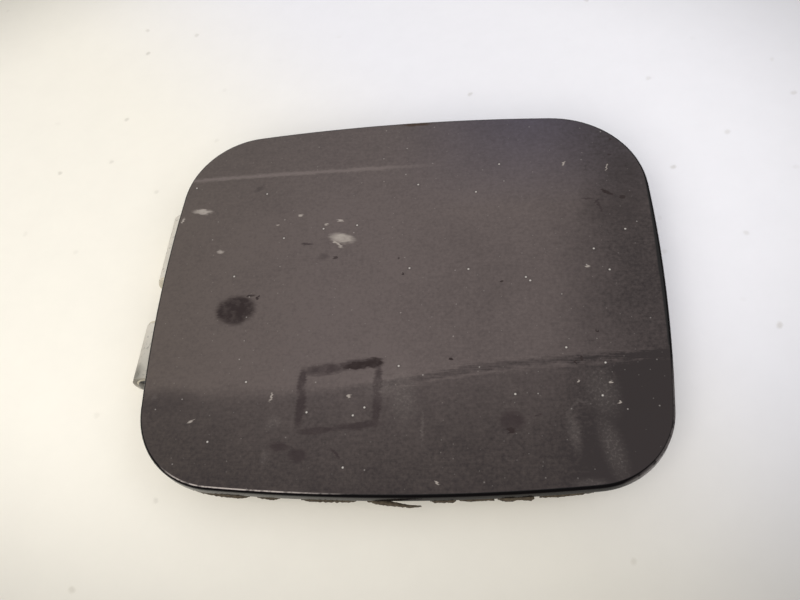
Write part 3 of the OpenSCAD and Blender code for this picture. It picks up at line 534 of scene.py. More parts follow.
# A painted pale reflection of a line crosses the far part of the face, and fades towards the free
# edge
PALE_REFLECTION = "#7C716E"
PALE_REFLECTION_Y = 51.4
PALE_REFLECTION_HALF = (1.5, 0.1)
PALE_REFLECTION_ENDS = (20.0, -18.0)
pale_reflection = add(tree, "Math", {0: away, 1: PALE_REFLECTION_Y}, operation="SUBTRACT")
pale_reflection = add(tree, "Math", {0: pale_reflection}, operation="ABSOLUTE")
pale_reflection = add(
    tree, "MapRange",
    {"Value": pale_reflection, "From Min": PALE_REFLECTION_HALF[0], "From Max": PALE_REFLECTION_HALF[1], "To Max": 0.5},
    interpolation_type="SMOOTHSTEP",
)
ends = add(
    tree, "MapRange",
    {"Value": across, "From Min": PALE_REFLECTION_ENDS[0], "From Max": PALE_REFLECTION_ENDS[1]},
    interpolation_type="SMOOTHSTEP",
)
pale_reflection = add(tree, "Math", {0: pale_reflection, 1: ends}, operation="MULTIPLY")

dust_film_and_reflections = linear(DUST_LIGHT)
for share, colour in ((cool, DUST_COOL), (warm, DUST_WARM), (thin_film_and_dark_reflection, DARK_FILM_AND_REFLECTION), (pale_reflection, PALE_REFLECTION)):
    dust_film_and_reflections = add(tree, "Mix", {0: share, 6: dust_film_and_reflections, 7: linear(colour)}, out=2, data_type="RGBA")

# Marks on the film: grease, drops, scuffs, chips and scratches. Painted dark reflections are
# among them: the big dark oval at the left, the square of dark bars below the middle and the
# dark patch at the left end of the line; one chip on the rim is a painted highlight. A group has
# its colour, how far it covers, how soft its edges are, and its ovals. An oval has its place,
# length, width and turn, in mm and degrees.
# The big oval and two bars of the square here are painted dark reflections
GREASE_AND_DARK_REFLECTION = (
    "#211413", 1.0, 0.24,
    (
        (-58.0, -7.9, 14.0, 11.2, 0), (72.3, 34.9, 4.6, 1.1, -35), (-50.3, -3.1, 0.9, 1.9, -20),
        (-53.1, -2.3, 2.8, 1.1, 0), (-7.1, -29.7, 5.6, 3.8, 0), (-12.2, -30.5, 10.0, 2.6, 6),
        (77.6, 32.7, 1.9, 1.4, 20), (75.2, 59.0, 1.2, 0.8, 30), (74.3, 52.0, 1.4, 0.9, -20),
        (-1.0, 10.1, 0.9, 0.8, 0), (1.0, 3.7, 0.8, 0.8, 0), (34.8, -0.7, 1.1, 0.8, 0),
        (17.9, -29.3, 1.0, 0.8, 0), (64.8, -20.2, 1.2, 1.0, 0), (59.4, -29.7, 1.0, 1.4, 0),
        (57.4, -31.1, 0.8, 1.0, 0), (-23.7, 11.8, 1.4, 1.1, 0), (36.9, -53.3, 2.6, 1.6, 0),
    ),
)
# The square's bars here are painted dark reflections
SMEARS_AND_DARK_REFLECTION = (
    "#2A1F20", 0.8, 0.4,
    (
        (-23.4, -31.8, 14.5, 4.0, 6), (-13.1, -30.4, 16.0, 3.6, 6), (-31.0, -35.6, 9.0, 2.8, 84),
        (-5.7, -37.0, 12.0, 2.8, 87), (-5.5, -45.3, 13.0, 2.7, 88), (-30.6, -44.5, 13.6, 3.0, 87),
        (-11.2, -51.3, 14.5, 2.5, 6), (-24.6, -52.8, 12.0, 2.3, 4), (37.1, -50.5, 7.2, 6.4, 0),
        (-36.5, -58.0, 6.6, 2.8, -4), (-30.2, -60.8, 6.0, 4.2, 0), (-17.8, -60.4, 4.8, 1.0, -43),
        (45.0, -48.6, 3.0, 0.9, 10), (69.5, 28.8, 5.0, 0.9, -72), (65.3, 32.5, 4.6, 0.8, 0),
        (68.6, 31.3, 2.4, 0.8, 40), (-34.5, 18.1, 4.4, 1.1, 0), (-10.2, -30.0, 8.0, 3.0, 6),
    ),
)
# The patch at (-76, -42) is a painted dark reflection
SHADES_AND_DARK_REFLECTION = (
    "#2C2424", 0.45, 0.6,
    (
        (-28.2, 12.2, 4.0, 2.8, 0), (-56.2, 45.0, 4.2, 1.8, 40), (-39.3, -51.3, 4.0, 2.2, 70),
        (75.9, 30.7, 22.0, 20.0, 60), (79.0, 41.8, 14.0, 18.0, 0), (-40.6, -62.0, 3.2, 2.4, 60),
        (-40.4, -57.8, 4.2, 0.9, 85), (71.5, 27.5, 16.0, 12.0, 0), (-76.0, -42.0, 20.0, 9.0, 0),
    ),
)
CHIPS_AND_A_HIGHLIGHT = (
    "#A9A098", 0.85, 0.5,
    (
        (-77.7, 36.2, 7.0, 1.7, -6), (-77.3, 35.3, 3.4, 1.3, -10), (-67.4, 17.0, 2.6, 1.6, 0),
        (-21.8, 19.9, 8.2, 3.6, -14), (-23.5, 17.8, 5.2, 0.9, -40), (-23.0, 27.7, 2.5, 0.9, -15),
        (-38.5, 31.3, 1.8, 0.8, 0), (-28.1, 26.3, 1.2, 0.7, 0), (-46.8, 27.3, 1.1, 0.8, 0),
        (-85.0, 32.6, 2.2, 0.8, 80), (-40.9, -41.2, 0.8, 2.6, 0), (-14.9, -41.4, 1.1, 0.9, 0),
        (57.9, 48.5, 1.9, 0.6, 60), (73.1, 46.1, 3.0, 0.45, 75), (14.2, -69.5, 1.7, 0.5, -45),
        (63.4, 4.3, 1.5, 1.2, 0), (58.0, -37.5, 0.9, 0.8, 0), (67.8, -38.0, 0.9, 0.8, 30),
        # The chip at (79.5, -62.5) is a painted highlight on the rim
        (70.0, -44.8, 0.8, 0.6, 0), (79.5, -62.5, 2.6, 0.8, 40), (-67.2, -48.9, 2.6, 0.45, 34),
    ),
)
HAZE = (
    "#8F8681", 0.27, 0.8,
    (
        (55.6, -53.9, 3.2, 11.0, 8), (65.0, -41.4, 8.0, 14.0, 10), (66.7, -59.0, 5.2, 17.0, 14),
        (59.5, -70.2, 8.0, 3.0, 0), (9.3, -52.5, 0.9, 9.0, 0), (2.7, -40.6, 7.0, 16.0, 10),
        (-3.7, -38.6, 9.0, 7.0, 0), (55.6, -46.5, 5.4, 0.8, 50), (59.3, -44.5, 5.0, 0.9, -14),
        (-40.7, -61.3, 2.4, 4.6, 0), (-39.0, -50.1, 4.2, 3.6, 20), (-81.9, -39.8, 1.6, 2.0, 0),
    ),
)


def marked(tree, place, ovals, soft):
    """How far a place lies inside any of some ovals, from 0 to 1."""
    nearest = None
    for x, y, length, width, turn in ovals:
        local = add(
            tree, "Mapping",
            {
                "Vector": place,
                "Location": (x, y, 0),
                "Rotation": (0, 0, math.radians(turn)),
                "Scale": (length / 2, width / 2, 1),
            },
            vector_type="TEXTURE",
        )
        out = add(tree, "VectorMath", {0: local}, out="Value", operation="LENGTH")
        nearest = out if nearest is None else add(tree, "Math", {0: nearest, 1: out}, operation="MINIMUM")
    return add(
        tree, "MapRange",
        {"Value": nearest, "From Min": 1 + soft, "From Max": 1 - soft},
        interpolation_type="SMOOTHSTEP",
    )


# A group's place is shifted a little where the group before it lies, so the renderer works them
# out one after another. All at once they would be too much for it. The dots are sparse dust, drawn
# coarser than they are so that they show.
OVERLAP_SHIFT = (0.2, 0.2, 0.0)
DOT = 0.9
broken = add(tree, "MapRange", {"Value": mottles, "From Min": 0.3, "From Max": 0.55, "To Min": 0.6})
dots = add(tree, "TexNoise", {"Vector": here, "Scale": 1 / DOT, "Detail": 2.0, "Roughness": 0.6})
dots = add(tree, "MapRange", {"Value": dots, "From Min": 0.5, "From Max": 0.74, "To Min": 0.3})
marked_place = wavy
for (colour, covers, soft, ovals), patchy in (
    (SHADES_AND_DARK_REFLECTION, broken), (SMEARS_AND_DARK_REFLECTION, broken), (GREASE_AND_DARK_REFLECTION, broken), (HAZE, dots), (CHIPS_AND_A_HIGHLIGHT, broken),
):
    depth = marked(tree, marked_place, ovals, soft)
    marked_place = add(
        tree, "VectorMath",
        {0: depth, 1: OVERLAP_SHIFT, 2: marked_place},
        operation="MULTIPLY_ADD",
    )
    depth = add(tree, "Math", {0: depth, 1: patchy}, operation="MULTIPLY")
    depth = add(tree, "Math", {0: depth, 1: covers}, operation="MULTIPLY")
    dust_film_and_reflections = add(tree, "Mix", {0: depth, 6: dust_film_and_reflections, 7: linear(colour)}, out=2, data_type="RGBA")

# Bright grains that stuck to the paint, each in a small dark ring, and fainter ones strewn at
# random. A strewn kind has its spacing and radius in mm, the share kept and how bright it is.
SPECK = "#D8D2CB"
RING = "#2E2827"
BRIGHT_GRAINS = (
    (26.2, 37.5), (34.7, 49.9), (5.0, 42.4), (3.2, 5.9), (23.6, 4.6), (42.9, 0.7), (44.3, -0.7),
    (66.0, 11.3), (70.6, 2.8), (77.1, 19.0), (-50.2, -35.5), (-28.4, -46.6), (-9.5, -45.3),
    (-13.1, -47.9), (-60.5, -56.0), (-15.2, -64.8), (1.0, -31.2), (38.3, -41.7), (54.8, -25.9),
    (66.6, -31.4), (64.9, -42.5), (-16.7, 25.3), (-29.1, 24.5), (-60.5, 6.1), (-43.7, 21.4),
    (-82.1, 47.8), (-52.8, 42.3),
)
GRAIN_R = 0.3
GRAIN_EDGE = (GRAIN_R * 1.5, GRAIN_R * 0.5)
RING_EDGE = (GRAIN_R * 3.4, GRAIN_R * 1.6)
STREWN = ((9.0, 0.22, 0.3, 0.16), (3.8, 0.16, 0.3, 0.07))

nearest = None
for x, y in BRIGHT_GRAINS:
    out = add(tree, "VectorMath", {0: here, 1: (x, y, 0)}, out="Value", operation="DISTANCE")
    nearest = out if nearest is None else add(tree, "Math", {0: nearest, 1: out}, operation="MINIMUM")
grains, rings_round = [
    add(tree, "MapRange", {"Value": nearest, "From Min": outer, "From Max": inner, "To Max": bright})
    for (outer, inner), bright in ((GRAIN_EDGE, 0.7), (RING_EDGE, 0.3))
]
for spacing, radius, kept, bright in STREWN:
    out = add(
        tree, "TexVoronoi",
        {"Vector": here, "Scale": 1 / spacing},
        out="Distance", voronoi_dimensions="2D",
    )
    chance = add(tree, "SeparateXYZ", {"Vector": tree.nodes[-1].outputs["Color"]})
    chance = add(
        tree, "MapRange",
        {"Value": chance, "From Min": kept, "From Max": 0, "To Max": 2 * bright},
    )
    more = add(
        tree, "MapRange",
        {"Value": out, "From Min": radius / spacing * 1.5, "From Max": radius / spacing * 0.6},
    )
    more = add(tree, "Math", {0: more, 1: chance}, operation="MULTIPLY", use_clamp=True)
    grains = add(tree, "Math", {0: grains, 1: more}, operation="MAXIMUM")
dust_film_and_reflections = add(tree, "Mix", {0: rings_round, 6: dust_film_and_reflections, 7: linear(RING)}, out=2, data_type="RGBA")
dust_film_and_reflections = add(tree, "Mix", {0: grains, 6: dust_film_and_reflections, 7: linear(SPECK)}, out=2, data_type="RGBA")

# The bend and the flange carry no film and show the near-black enamel, painted there as the dark
# reflection band round the edges. A strip of the face beside the free edge is painted black too,
# as a dark reflection, down to the line, and tapers from its middle.
BARE_AND_REFLECTED_BLACK = "#0C0A0B"
DARK_STRIP_WIDTH = 1.9
STRIP_Y = 4.0
STRIP_TAPER = 0.022

normal = add(tree, "TexCoord", out="Normal")
level = add(tree, "SeparateXYZ", {"Vector": normal}, out="Z")
facing = tree.nodes[-1].outputs["Y"]
sideways = tree.nodes[-1].outputs["X"]
flat = add(
    tree, "MapRange",
    {"Value": level, "From Min": 0.93, "From Max": 0.995},
    interpolation_type="SMOOTHSTEP",
)
inwards = add(
    tree, "VectorMath",
    {0: here, 1: (DOOR_SIZE[0] / 2 - BULGE[0], 0, 0)},
    out="Value", operation="DISTANCE",
)
inwards = add(tree, "Math", {0: BULGE[0], 1: inwards}, operation="SUBTRACT")
strip = add(tree, "Math", {0: away, 1: STRIP_Y}, operation="SUBTRACT")
strip = add(tree, "Math", {0: strip}, operation="ABSOLUTE")
strip = add(tree, "Math", {0: strip, 1: -STRIP_TAPER, 2: DARK_STRIP_WIDTH}, operation="MULTIPLY_ADD")
strip = add(tree, "Math", {0: strip, 1: inwards}, operation="SUBTRACT")
strip = inside(tree, (strip, -0.25, 0.25), (over, 0.5, 2.5))
dust_film_and_reflections = add(tree, "Mix", {0: strip, 6: dust_film_and_reflections, 7: linear(BARE_AND_REFLECTED_BLACK)}, out=2, data_type="RGBA")
colour = add(tree, "Mix", {0: flat, 6: linear(BARE_AND_REFLECTED_BLACK), 7: dust_film_and_reflections}, out=2, data_type="RGBA")

# A painted highlight runs along the bend at the near edge, left of its middle, and a painted pale
# reflection lies on the flange round the near free corner. Facing runs from 0 on the flat face to
# -1 on the near flange. One chip is brown.
EDGE_HIGHLIGHT = "#B4AAA4"
RIM_REFLECTION = "#565150"
CHIP_BROWN = "#3A2A20"
BROWN_CHIP = (3.0, 72.9, 11.0, 2.0, -2)
HIGHLIGHT_BREAKUP = 2.6

# Noise breaks up the painted highlight and the painted rim reflection
highlight_breakup = add(tree, "TexNoise", {"Vector": here, "Scale": 1 / HIGHLIGHT_BREAKUP, "Detail": 3.0, "Roughness": 0.6})
highlight_breakup = add(tree, "MapRange", {"Value": highlight_breakup, "From Min": 0.36, "From Max": 0.5, "To Min": 0.25})
edge_highlight = inside(
    tree,
    (facing, -0.1, -0.2), (facing, -0.5, -0.36), (across, -12.0, -38.0), (across, -76.0, -68.0),
)
edge_highlight = add(tree, "Math", {0: edge_highlight, 1: highlight_breakup}, operation="MULTIPLY")
rim_reflection = inside(tree, (sideways, 0.3, 0.6), (over, -1.0, -12.0))
rim_reflection = add(tree, "Math", {0: rim_reflection, 1: highlight_breakup}, operation="MULTIPLY")
brown = marked(tree, wavy, (BROWN_CHIP,), 0.4)
for share, shade in ((edge_highlight, EDGE_HIGHLIGHT), (rim_reflection, RIM_REFLECTION), (brown, CHIP_BROWN)):
    colour = add(tree, "Mix", {0: share, 6: colour, 7: linear(shade)}, out=2, data_type="RGBA")
tree.links.new(colour, shader.inputs["Base Color"])

# The dust and the stretch of the painted highlight are rougher than the bare coat, and the
# flange shines less towards its right end. Orange peel and the grains raise the coat a little.
BARE_ROUGH = 0.2
DUST_ROUGH = 0.36
EDGE_HIGHLIGHT_ROUGHER = 0.3
COAT_SHINE = (0.25, 0.03)
PEEL = 2.2
GRAIN_HEIGHT = 1.5
PEEL_HEIGHT = 0.04

rough = add(tree, "MapRange", {"Value": flat, "To Min": BARE_ROUGH, "To Max": DUST_ROUGH})
rough = add(tree, "Math", {0: edge_highlight, 1: EDGE_HIGHLIGHT_ROUGHER, 2: rough}, operation="MULTIPLY_ADD")
tree.links.new(rough, shader.inputs["Roughness"])
matt = inside(tree, (level, 0.9, 0.6), (across, -45.0, 5.0))
matt = add(tree, "MapRange", {"Value": matt, "To Min": COAT_SHINE[0], "To Max": COAT_SHINE[1]})
tree.links.new(matt, shader.inputs["Specular IOR Level"])
peel = add(tree, "TexNoise", {"Vector": here, "Scale": 1 / PEEL, "Detail": 1.0})
height = add(tree, "Math", {0: grains, 1: GRAIN_HEIGHT, 2: peel}, operation="MULTIPLY_ADD")
bump = add(tree, "Bump", {"Height": height, "Strength": 0.25, "Distance": PEEL_HEIGHT * MM})
tree.links.new(bump, shader.inputs["Normal"])
skin.data.materials.append(enamel)
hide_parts("outer_skin")
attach(skin, "door")


# Mastic dabs
# Four soft dabs of butyl mastic, laid on the inner panel's dish before the skin is closed round
# it. They bridge the gap to the skin and stop it drumming.
MASTIC = ("#171717", "#262524")
MASTIC_LUMP = 3.0


def in_mm(tree):
    """The place on the piece, in millimetres."""
    place = add(tree, "TexCoord", out="Object")
    return add(tree, "VectorMath", {0: place, "Scale": 1 / MM}, operation="SCALE")


def finish_node(name, made, bevel=0.0):
    """Gives a node of the frame its material, and a small round on its edges, in mm."""
    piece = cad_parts[name]
    for one in piece.material_slots:
        one.material = made
    if bevel:
        round_edges = piece.modifiers.new("edge_round", "BEVEL")
        round_edges.width = bevel * MM
        round_edges.segments = 2
        round_edges.limit_method = "ANGLE"
        round_edges.angle_limit = math.radians(50)


# Butyl mastic pressed on by hand: black, tacky and dull, and slightly uneven in tone
mastic, tree, shader = new_material("pressed_butyl_mastic", {"Roughness": 0.7})
place = in_mm(tree)
lumps = add(tree, "TexNoise", {"Vector": place, "Scale": 1 / MASTIC_LUMP, "Detail": 3.0})
tint = add(tree, "Mix", {0: lumps, 6: linear(MASTIC[0]), 7: linear(MASTIC[1])}, out=2, data_type="RGBA")
tree.links.new(tint, shader.inputs["Base Color"])
finish_node("mastic_dabs", mastic)


# Inner panel
# A pressed steel sheet whose rim lies in the hem. It has a raised dish and four beads, and
# carries the hinge, the striker and the bumpers. It shows the primer that the door was dipped in.
PRIMER = ("#2B2A2B", "#3D3A38")
PRIMER_CLOUD = 18.0
PRIMER_GRAIN = 0.7
PRIMER_RAISED = 0.03

# Primer from a dip bath: grey-black and half dull, a little cloudy where it ran off. The real
# grain is finer, and is drawn this coarse so that it shows.
primer, tree, shader = new_material("dipped_primer", {"Roughness": 0.45})
place = in_mm(tree)
clouds = add(tree, "TexNoise", {"Vector": place, "Scale": 1 / PRIMER_CLOUD, "Detail": 5.0})
grain = add(tree, "TexNoise", {"Vector": place, "Scale": 1 / PRIMER_GRAIN, "Detail": 2.0})
tint = add(tree, "Mix", {0: clouds, 6: linear(PRIMER[0]), 7: linear(PRIMER[1])}, out=2, data_type="RGBA")
tree.links.new(tint, shader.inputs["Base Color"])
bump = add(tree, "Bump", {"Height": grain, "Strength": 0.3, "Distance": PRIMER_RAISED * MM})
tree.links.new(bump, shader.inputs["Normal"])
finish_node("inner_panel", primer)


# Hem sealer
# Brown sealer run round the fold of the hem. It has dried and cracked, and under the near edge
# it has broken out in flakes. One long flake hangs loose at its right end.
SEALER = "#625848"
SEALER_DARK = "#2B231C"
SEALER_W = 1.6
SEALER_T = 0.6
LUMP = 0.25
LUMP_SIZE = 2.5
FLAKE_STEP = 0.45
FLAKE_RAG = 0.3
RAG_SIZE = 0.9
TUCK = -3.0
# Stations of the lips: place along the near edge, and how far the lip comes out beyond it. Their
# other side is tucked in under the hem, by TUCK.
LIPS = (
    ((-66.5, -1.2), (-62.0, -0.2), (-58.0, 0.25), (-53.8, 0.45), (-49.0, 0.5), (-45.5, -0.3)),
    ((-43.5, -0.2), (-41.0, 0.15), (-38.0, 0.3), (-35.5, -0.3)),
    ((-29.0, -0.2), (-26.0, 0.3), (-19.8, 0.25), (-13.0, 0.1), (-11.0, -0.4)),
    ((11.5, -0.3), (13.0, 0.25), (18.5, 0.35), (20.0, -0.3)),
    ((20.5, -0.2), (24.0, 0.2), (28.0, 0.05), (31.5, 0.15)),
    ((44.5, 0.0), (50.0, 0.2), (56.0, 0.05), (61.0, -0.4)),
    ((32.0, -0.2), (33.5, 0.5), (36.5, 0.7), (38.0, 0.3), (42.0, 0.75), (43.5, 0.0)),
)
# Stations of the loose flake: place along the edge, and how far each of its sides lies beyond it
LOOSE_FLAKE = (
    (-8.0, -2.0, -0.2), (-5.5, -1.6, 0.5), (-2.0, -0.6, 1.05), (0.8, 0.0, 1.3), (3.9, 0.6, 1.5),
    (7.0, 0.95, 1.55), (9.4, 1.2, 1.45),
)
CRUMB = 1.4
CRUMB_HEIGHT = 0.25

# Sealer run on as a bead and dried for years: dry, crumbly and brown, darker in its cracks
sealer, tree, shader = new_material("dried_brown_sealer", {"Roughness": 0.85})
place = in_mm(tree)
crumbs = add(tree, "TexNoise", {"Vector": place, "Scale": 1 / CRUMB, "Detail": 6.0, "Roughness": 0.7})
crumbs_seen = add(tree, "MapRange", {"Value": crumbs, "From Min": 0.3, "From Max": 0.7})
tint = add(
    tree, "Mix",
    {0: crumbs_seen, 6: linear(SEALER_DARK), 7: linear(SEALER)},
    out=2, data_type="RGBA",
)
tree.links.new(tint, shader.inputs["Base Color"])
bump = add(tree, "Bump", {"Height": crumbs, "Strength": 0.8, "Distance": CRUMB_HEIGHT * MM})
tree.links.new(bump, shader.inputs["Normal"])


def lumpy_ring(inset, down):
    """Ring of the sealer under the hem, with lumps in its height."""
    points = []
    for x, y, z in ring(inset, HEM_Z - down):
        lump = LUMP * (0.5 + noise.noise(Vector((x, y, inset)) / LUMP_SIZE)) if down else 0.0
        points.append((x, y, z + lump))
    return points


def edge_y(x):
    """How far the near edge of the door lies from its middle line, at a place along it, in mm."""
    return DOOR_SIZE[1] / 2 - BULGE[1] + math.sqrt(BULGE[1] ** 2 - x ** 2)


def flake(stations):
    """One ragged flake as a plate that runs through its stations."""
    sections = []
    for (x0, in0, out0), (x1, in1, out1) in zip(stations, stations[1:]):
        steps = max(1, round((x1 - x0) / FLAKE_STEP))
        for i in range(steps):
            t = i / steps
            x = x0 + t * (x1 - x0)
            rag = FLAKE_RAG * noise.noise(Vector((x / RAG_SIZE, in0, 0)))
            low = edge_y(x) + out0 + t * (out1 - out0) + rag
            high = edge_y(x) + in0 + t * (in1 - in0) + rag / 2
            top = HEM_Z
            foot = HEM_Z - SEALER_T * (0.8 + 0.2 * noise.noise(Vector((x, out0, 3))))
            sections.append([(x, -high, top), (x, -low, top), (x, -low, foot), (x, -high, foot)])
    return skin_of_rings("flake", sections, door_frame)


bead = [
    lumpy_ring(HEM_W + SEALER_W, 0),
    lumpy_ring(HEM_W, 0),
    lumpy_ring(HEM_W - SEALER_W, 0),
    lumpy_ring(HEM_W - SEALER_W / 2, SEALER_T),
    lumpy_ring(HEM_W + SEALER_W / 2, SEALER_T),
]
parts = [skin_of_rings("bead", bead, door_frame, closed=True)]
parts += [flake([(x, TUCK, out) for x, out in lip]) for lip in LIPS]
parts.append(flake(LOOSE_FLAKE))
work = bmesh.new()
for part in parts:
    work.from_mesh(part.data)
    bpy.data.objects.remove(part)
mesh = bpy.data.meshes.new("cracked_sealer")
work.to_mesh(mesh)
work.free()
cracked = bpy.data.objects.new("cracked_sealer", mesh)
bpy.context.collection.objects.link(cracked)
cracked.data.materials.append(sealer)
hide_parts("hem_sealer")
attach(cracked, "door")


# Hinge arm
# A leaf stamped from steel sheet, with two eyes rolled at its end and flanges turned down along
# its sides. It is riveted to the inner panel and swings on the pin. Zinc plated, then corroded.
ZINC = ("#D6D0C4", "#EDE7DB")
ZINC_DARK = "#8A877E"
END_GREY = "#6A665E"
END_GREY_PLACE = (-27.4, -29.6, 11.8)
END_GREY_R = (7.0, 4.0)
GREYED_Y = (-10.0, -34.0)
BLOOM_SIZE = 5.0
BLOOM_HEIGHT = 0.05
SPOT_SIZE = 1.3

# Zinc plating gone dull: pale and nearly without a metal's shine, clouded with white bloom and
# speckled with grey. The near eye is greyer, and darker still at its end.
zinc, tree, shader = new_material("dull_zinc_plated_steel", {"Metallic": 0.2})
place = in_mm(tree)
bloom = add(tree, "TexNoise", {"Vector": place, "Scale": 1 / BLOOM_SIZE, "Detail": 6.0, "Roughness": 0.65})
tint = add(tree, "Mix", {0: bloom, 6: linear(ZINC[0]), 7: linear(ZINC[1])}, out=2, data_type="RGBA")
spots = add(tree, "TexNoise", {"Vector": place, "Scale": 1 / SPOT_SIZE, "Detail": 4.0, "Roughness": 0.6})
spots = add(tree, "MapRange", {"Value": spots, "From Min": 0.58, "From Max": 0.72})
along = add(tree, "SeparateXYZ", {"Vector": place}, out="Y")
greyed = add(
    tree, "MapRange",
    {"Value": along, "From Min": GREYED_Y[0], "From Max": GREYED_Y[1], "To Max": 0.6},
)
end_grey = add(tree, "VectorMath", {0: place, 1: END_GREY_PLACE}, out="Value", operation="DISTANCE")
end_grey = add(tree, "Math", {0: bloom, 1: 3.0, 2: end_grey}, operation="MULTIPLY_ADD")
end_grey = add(
    tree, "MapRange",
    {"Value": end_grey, "From Min": END_GREY_R[0], "From Max": END_GREY_R[1], "To Max": 0.8},
)
for share, shade in ((spots, ZINC_DARK), (greyed, ZINC_DARK), (end_grey, END_GREY)):
    tint = add(tree, "Mix", {0: share, 6: tint, 7: linear(shade)}, out=2, data_type="RGBA")
tree.links.new(tint, shader.inputs["Base Color"])
rough = add(tree, "MapRange", {"Value": bloom, "To Min": 0.45, "To Max": 0.7})
tree.links.new(rough, shader.inputs["Roughness"])
bump = add(tree, "Bump", {"Height": bloom, "Strength": 0.4, "Distance": BLOOM_HEIGHT * MM})
tree.links.new(bump, shader.inputs["Normal"])
finish_node("hinge_arm", zinc, bevel=0.2)


# Rivets
# Solid steel rivets, plated before use. Their domed heads lie below and their tails are upset
# above the inner panel, where they hold the hinge arm and the latch striker.
RIVET = ("#8F8C86", "#B5B2AA")
RIVET_SMEAR = 2.0

# Bright plating on cold-headed steel: a soft metal shine, smeared by handling
rivet_steel, tree, shader = new_material("plated_cold_headed_steel", {"Metallic": 0.9})
place = in_mm(tree)
smears = add(tree, "TexNoise", {"Vector": place, "Scale": 1 / RIVET_SMEAR, "Detail": 4.0})
tint = add(tree, "Mix", {0: smears, 6: linear(RIVET[0]), 7: linear(RIVET[1])}, out=2, data_type="RGBA")
tree.links.new(tint, shader.inputs["Base Color"])
rough = add(tree, "MapRange", {"Value": smears, "To Min": 0.3, "To Max": 0.55})
tree.links.new(rough, shader.inputs["Roughness"])
finish_node("arm_rivets", rivet_steel)
finish_node("striker_rivets", rivet_steel)


# Bushes
# Two flanged bushes moulded in natural nylon, pressed into the eyes from their inner sides. They
# turn on the pin without grease.
NYLON = ("#CFC6B0", "#DDD6C4")
NYLON_HAZE = 4.0

# Nylon moulded without a pigment: ivory and waxy, with a dull shine and a faint haze
nylon, tree, shader = new_material("natural_moulded_nylon", {"Roughness": 0.5, "IOR": 1.53})
place = in_mm(tree)
haze = add(tree, "TexNoise", {"Vector": place, "Scale": 1 / NYLON_HAZE, "Detail": 3.0})
tint = add(tree, "Mix", {0: haze, 6: linear(NYLON[0]), 7: linear(NYLON[1])}, out=2, data_type="RGBA")
tree.links.new(tint, shader.inputs["Base Color"])
finish_node("bush_upper", nylon)
finish_node("bush_lower", nylon)


# Hinge base
# One aluminium die casting, bolted to the car: a foot with two bolt bosses, two ears that hold
# the pin, and the rib and gussets that brace them.
CAST = ("#7E7E7C", "#9C9B97")
CAST_GRAIN = 0.9
CAST_FLOW = 9.0
CAST_RAISED = 0.04

# Aluminium as it leaves the die: grey and grainy, with broad flow marks and a dull metal shine.
# The grain is drawn coarser than it is, so that it shows.
cast, tree, shader = new_material("die_cast_aluminium", {"Metallic": 0.8})
place = in_mm(tree)
grain = add(tree, "TexNoise", {"Vector": place, "Scale": 1 / CAST_GRAIN, "Detail": 5.0, "Roughness": 0.6})
flow = add(tree, "TexNoise", {"Vector": place, "Scale": 1 / CAST_FLOW, "Detail": 3.0})
tint = add(tree, "Mix", {0: flow, 6: linear(CAST[0]), 7: linear(CAST[1])}, out=2, data_type="RGBA")
tree.links.new(tint, shader.inputs["Base Color"])
rough = add(tree, "MapRange", {"Value": grain, "To Min": 0.42, "To Max": 0.62})
tree.links.new(rough, shader.inputs["Roughness"])
bump = add(tree, "Bump", {"Height": grain, "Strength": 0.5, "Distance": CAST_RAISED * MM})
tree.links.new(bump, shader.inputs["Normal"])
finish_node("hinge_base", cast, bevel=0.4)


# Hinge pin and clip
# A drawn steel pin with a domed head at the near end. It is pushed through ears and bushes and
# kept in by a stamped clip of spring steel at the far end.
PIN_STEEL = ("#5A5856", "#7B7976")
DRAW_LINES = (6.0, 0.3, 6.0)

# Drawn and oiled steel: grey with a low metal shine and fine lines along the pin
drawn_steel, tree, shader = new_material("drawn_oiled_steel", {"Metallic": 1.0})
place = in_mm(tree)
stretched = add(tree, "VectorMath", {0: place, 1: DRAW_LINES}, operation="MULTIPLY")
lines = add(tree, "TexNoise", {"Vector": stretched, "Scale": 1.0, "Detail": 2.0})
tint = add(
    tree, "Mix",
    {0: lines, 6: linear(PIN_STEEL[0]), 7: linear(PIN_STEEL[1])},
    out=2, data_type="RGBA",
)
tree.links.new(tint, shader.inputs["Base Color"])
rough = add(tree, "MapRange", {"Value": lines, "To Min": 0.3, "To Max": 0.45})
tree.links.new(rough, shader.inputs["Roughness"])
finish_node("hinge_pin", drawn_steel)
finish_node("pin_clip", drawn_steel, bevel=0.1)


# Opening spring
# Spring wire coiled round the pin between the ears. One leg bears on the base's rib and the
# other under the arm, so the coil winds up as the door closes.
HINGE_AXIS = Vector((-24.0, 0.0, 9.5))
WIRE_R = 0.5
WIRE_SIDES = 12
COIL_R = 3.3
COIL_TURNS = 5
COIL_STEPS = 28
BASE_LEG = 12.0
ARM_LEG = 19.0
WIRE_STEEL = ("#3A3836", "#5C5955")
OIL_SPOT = 1.5

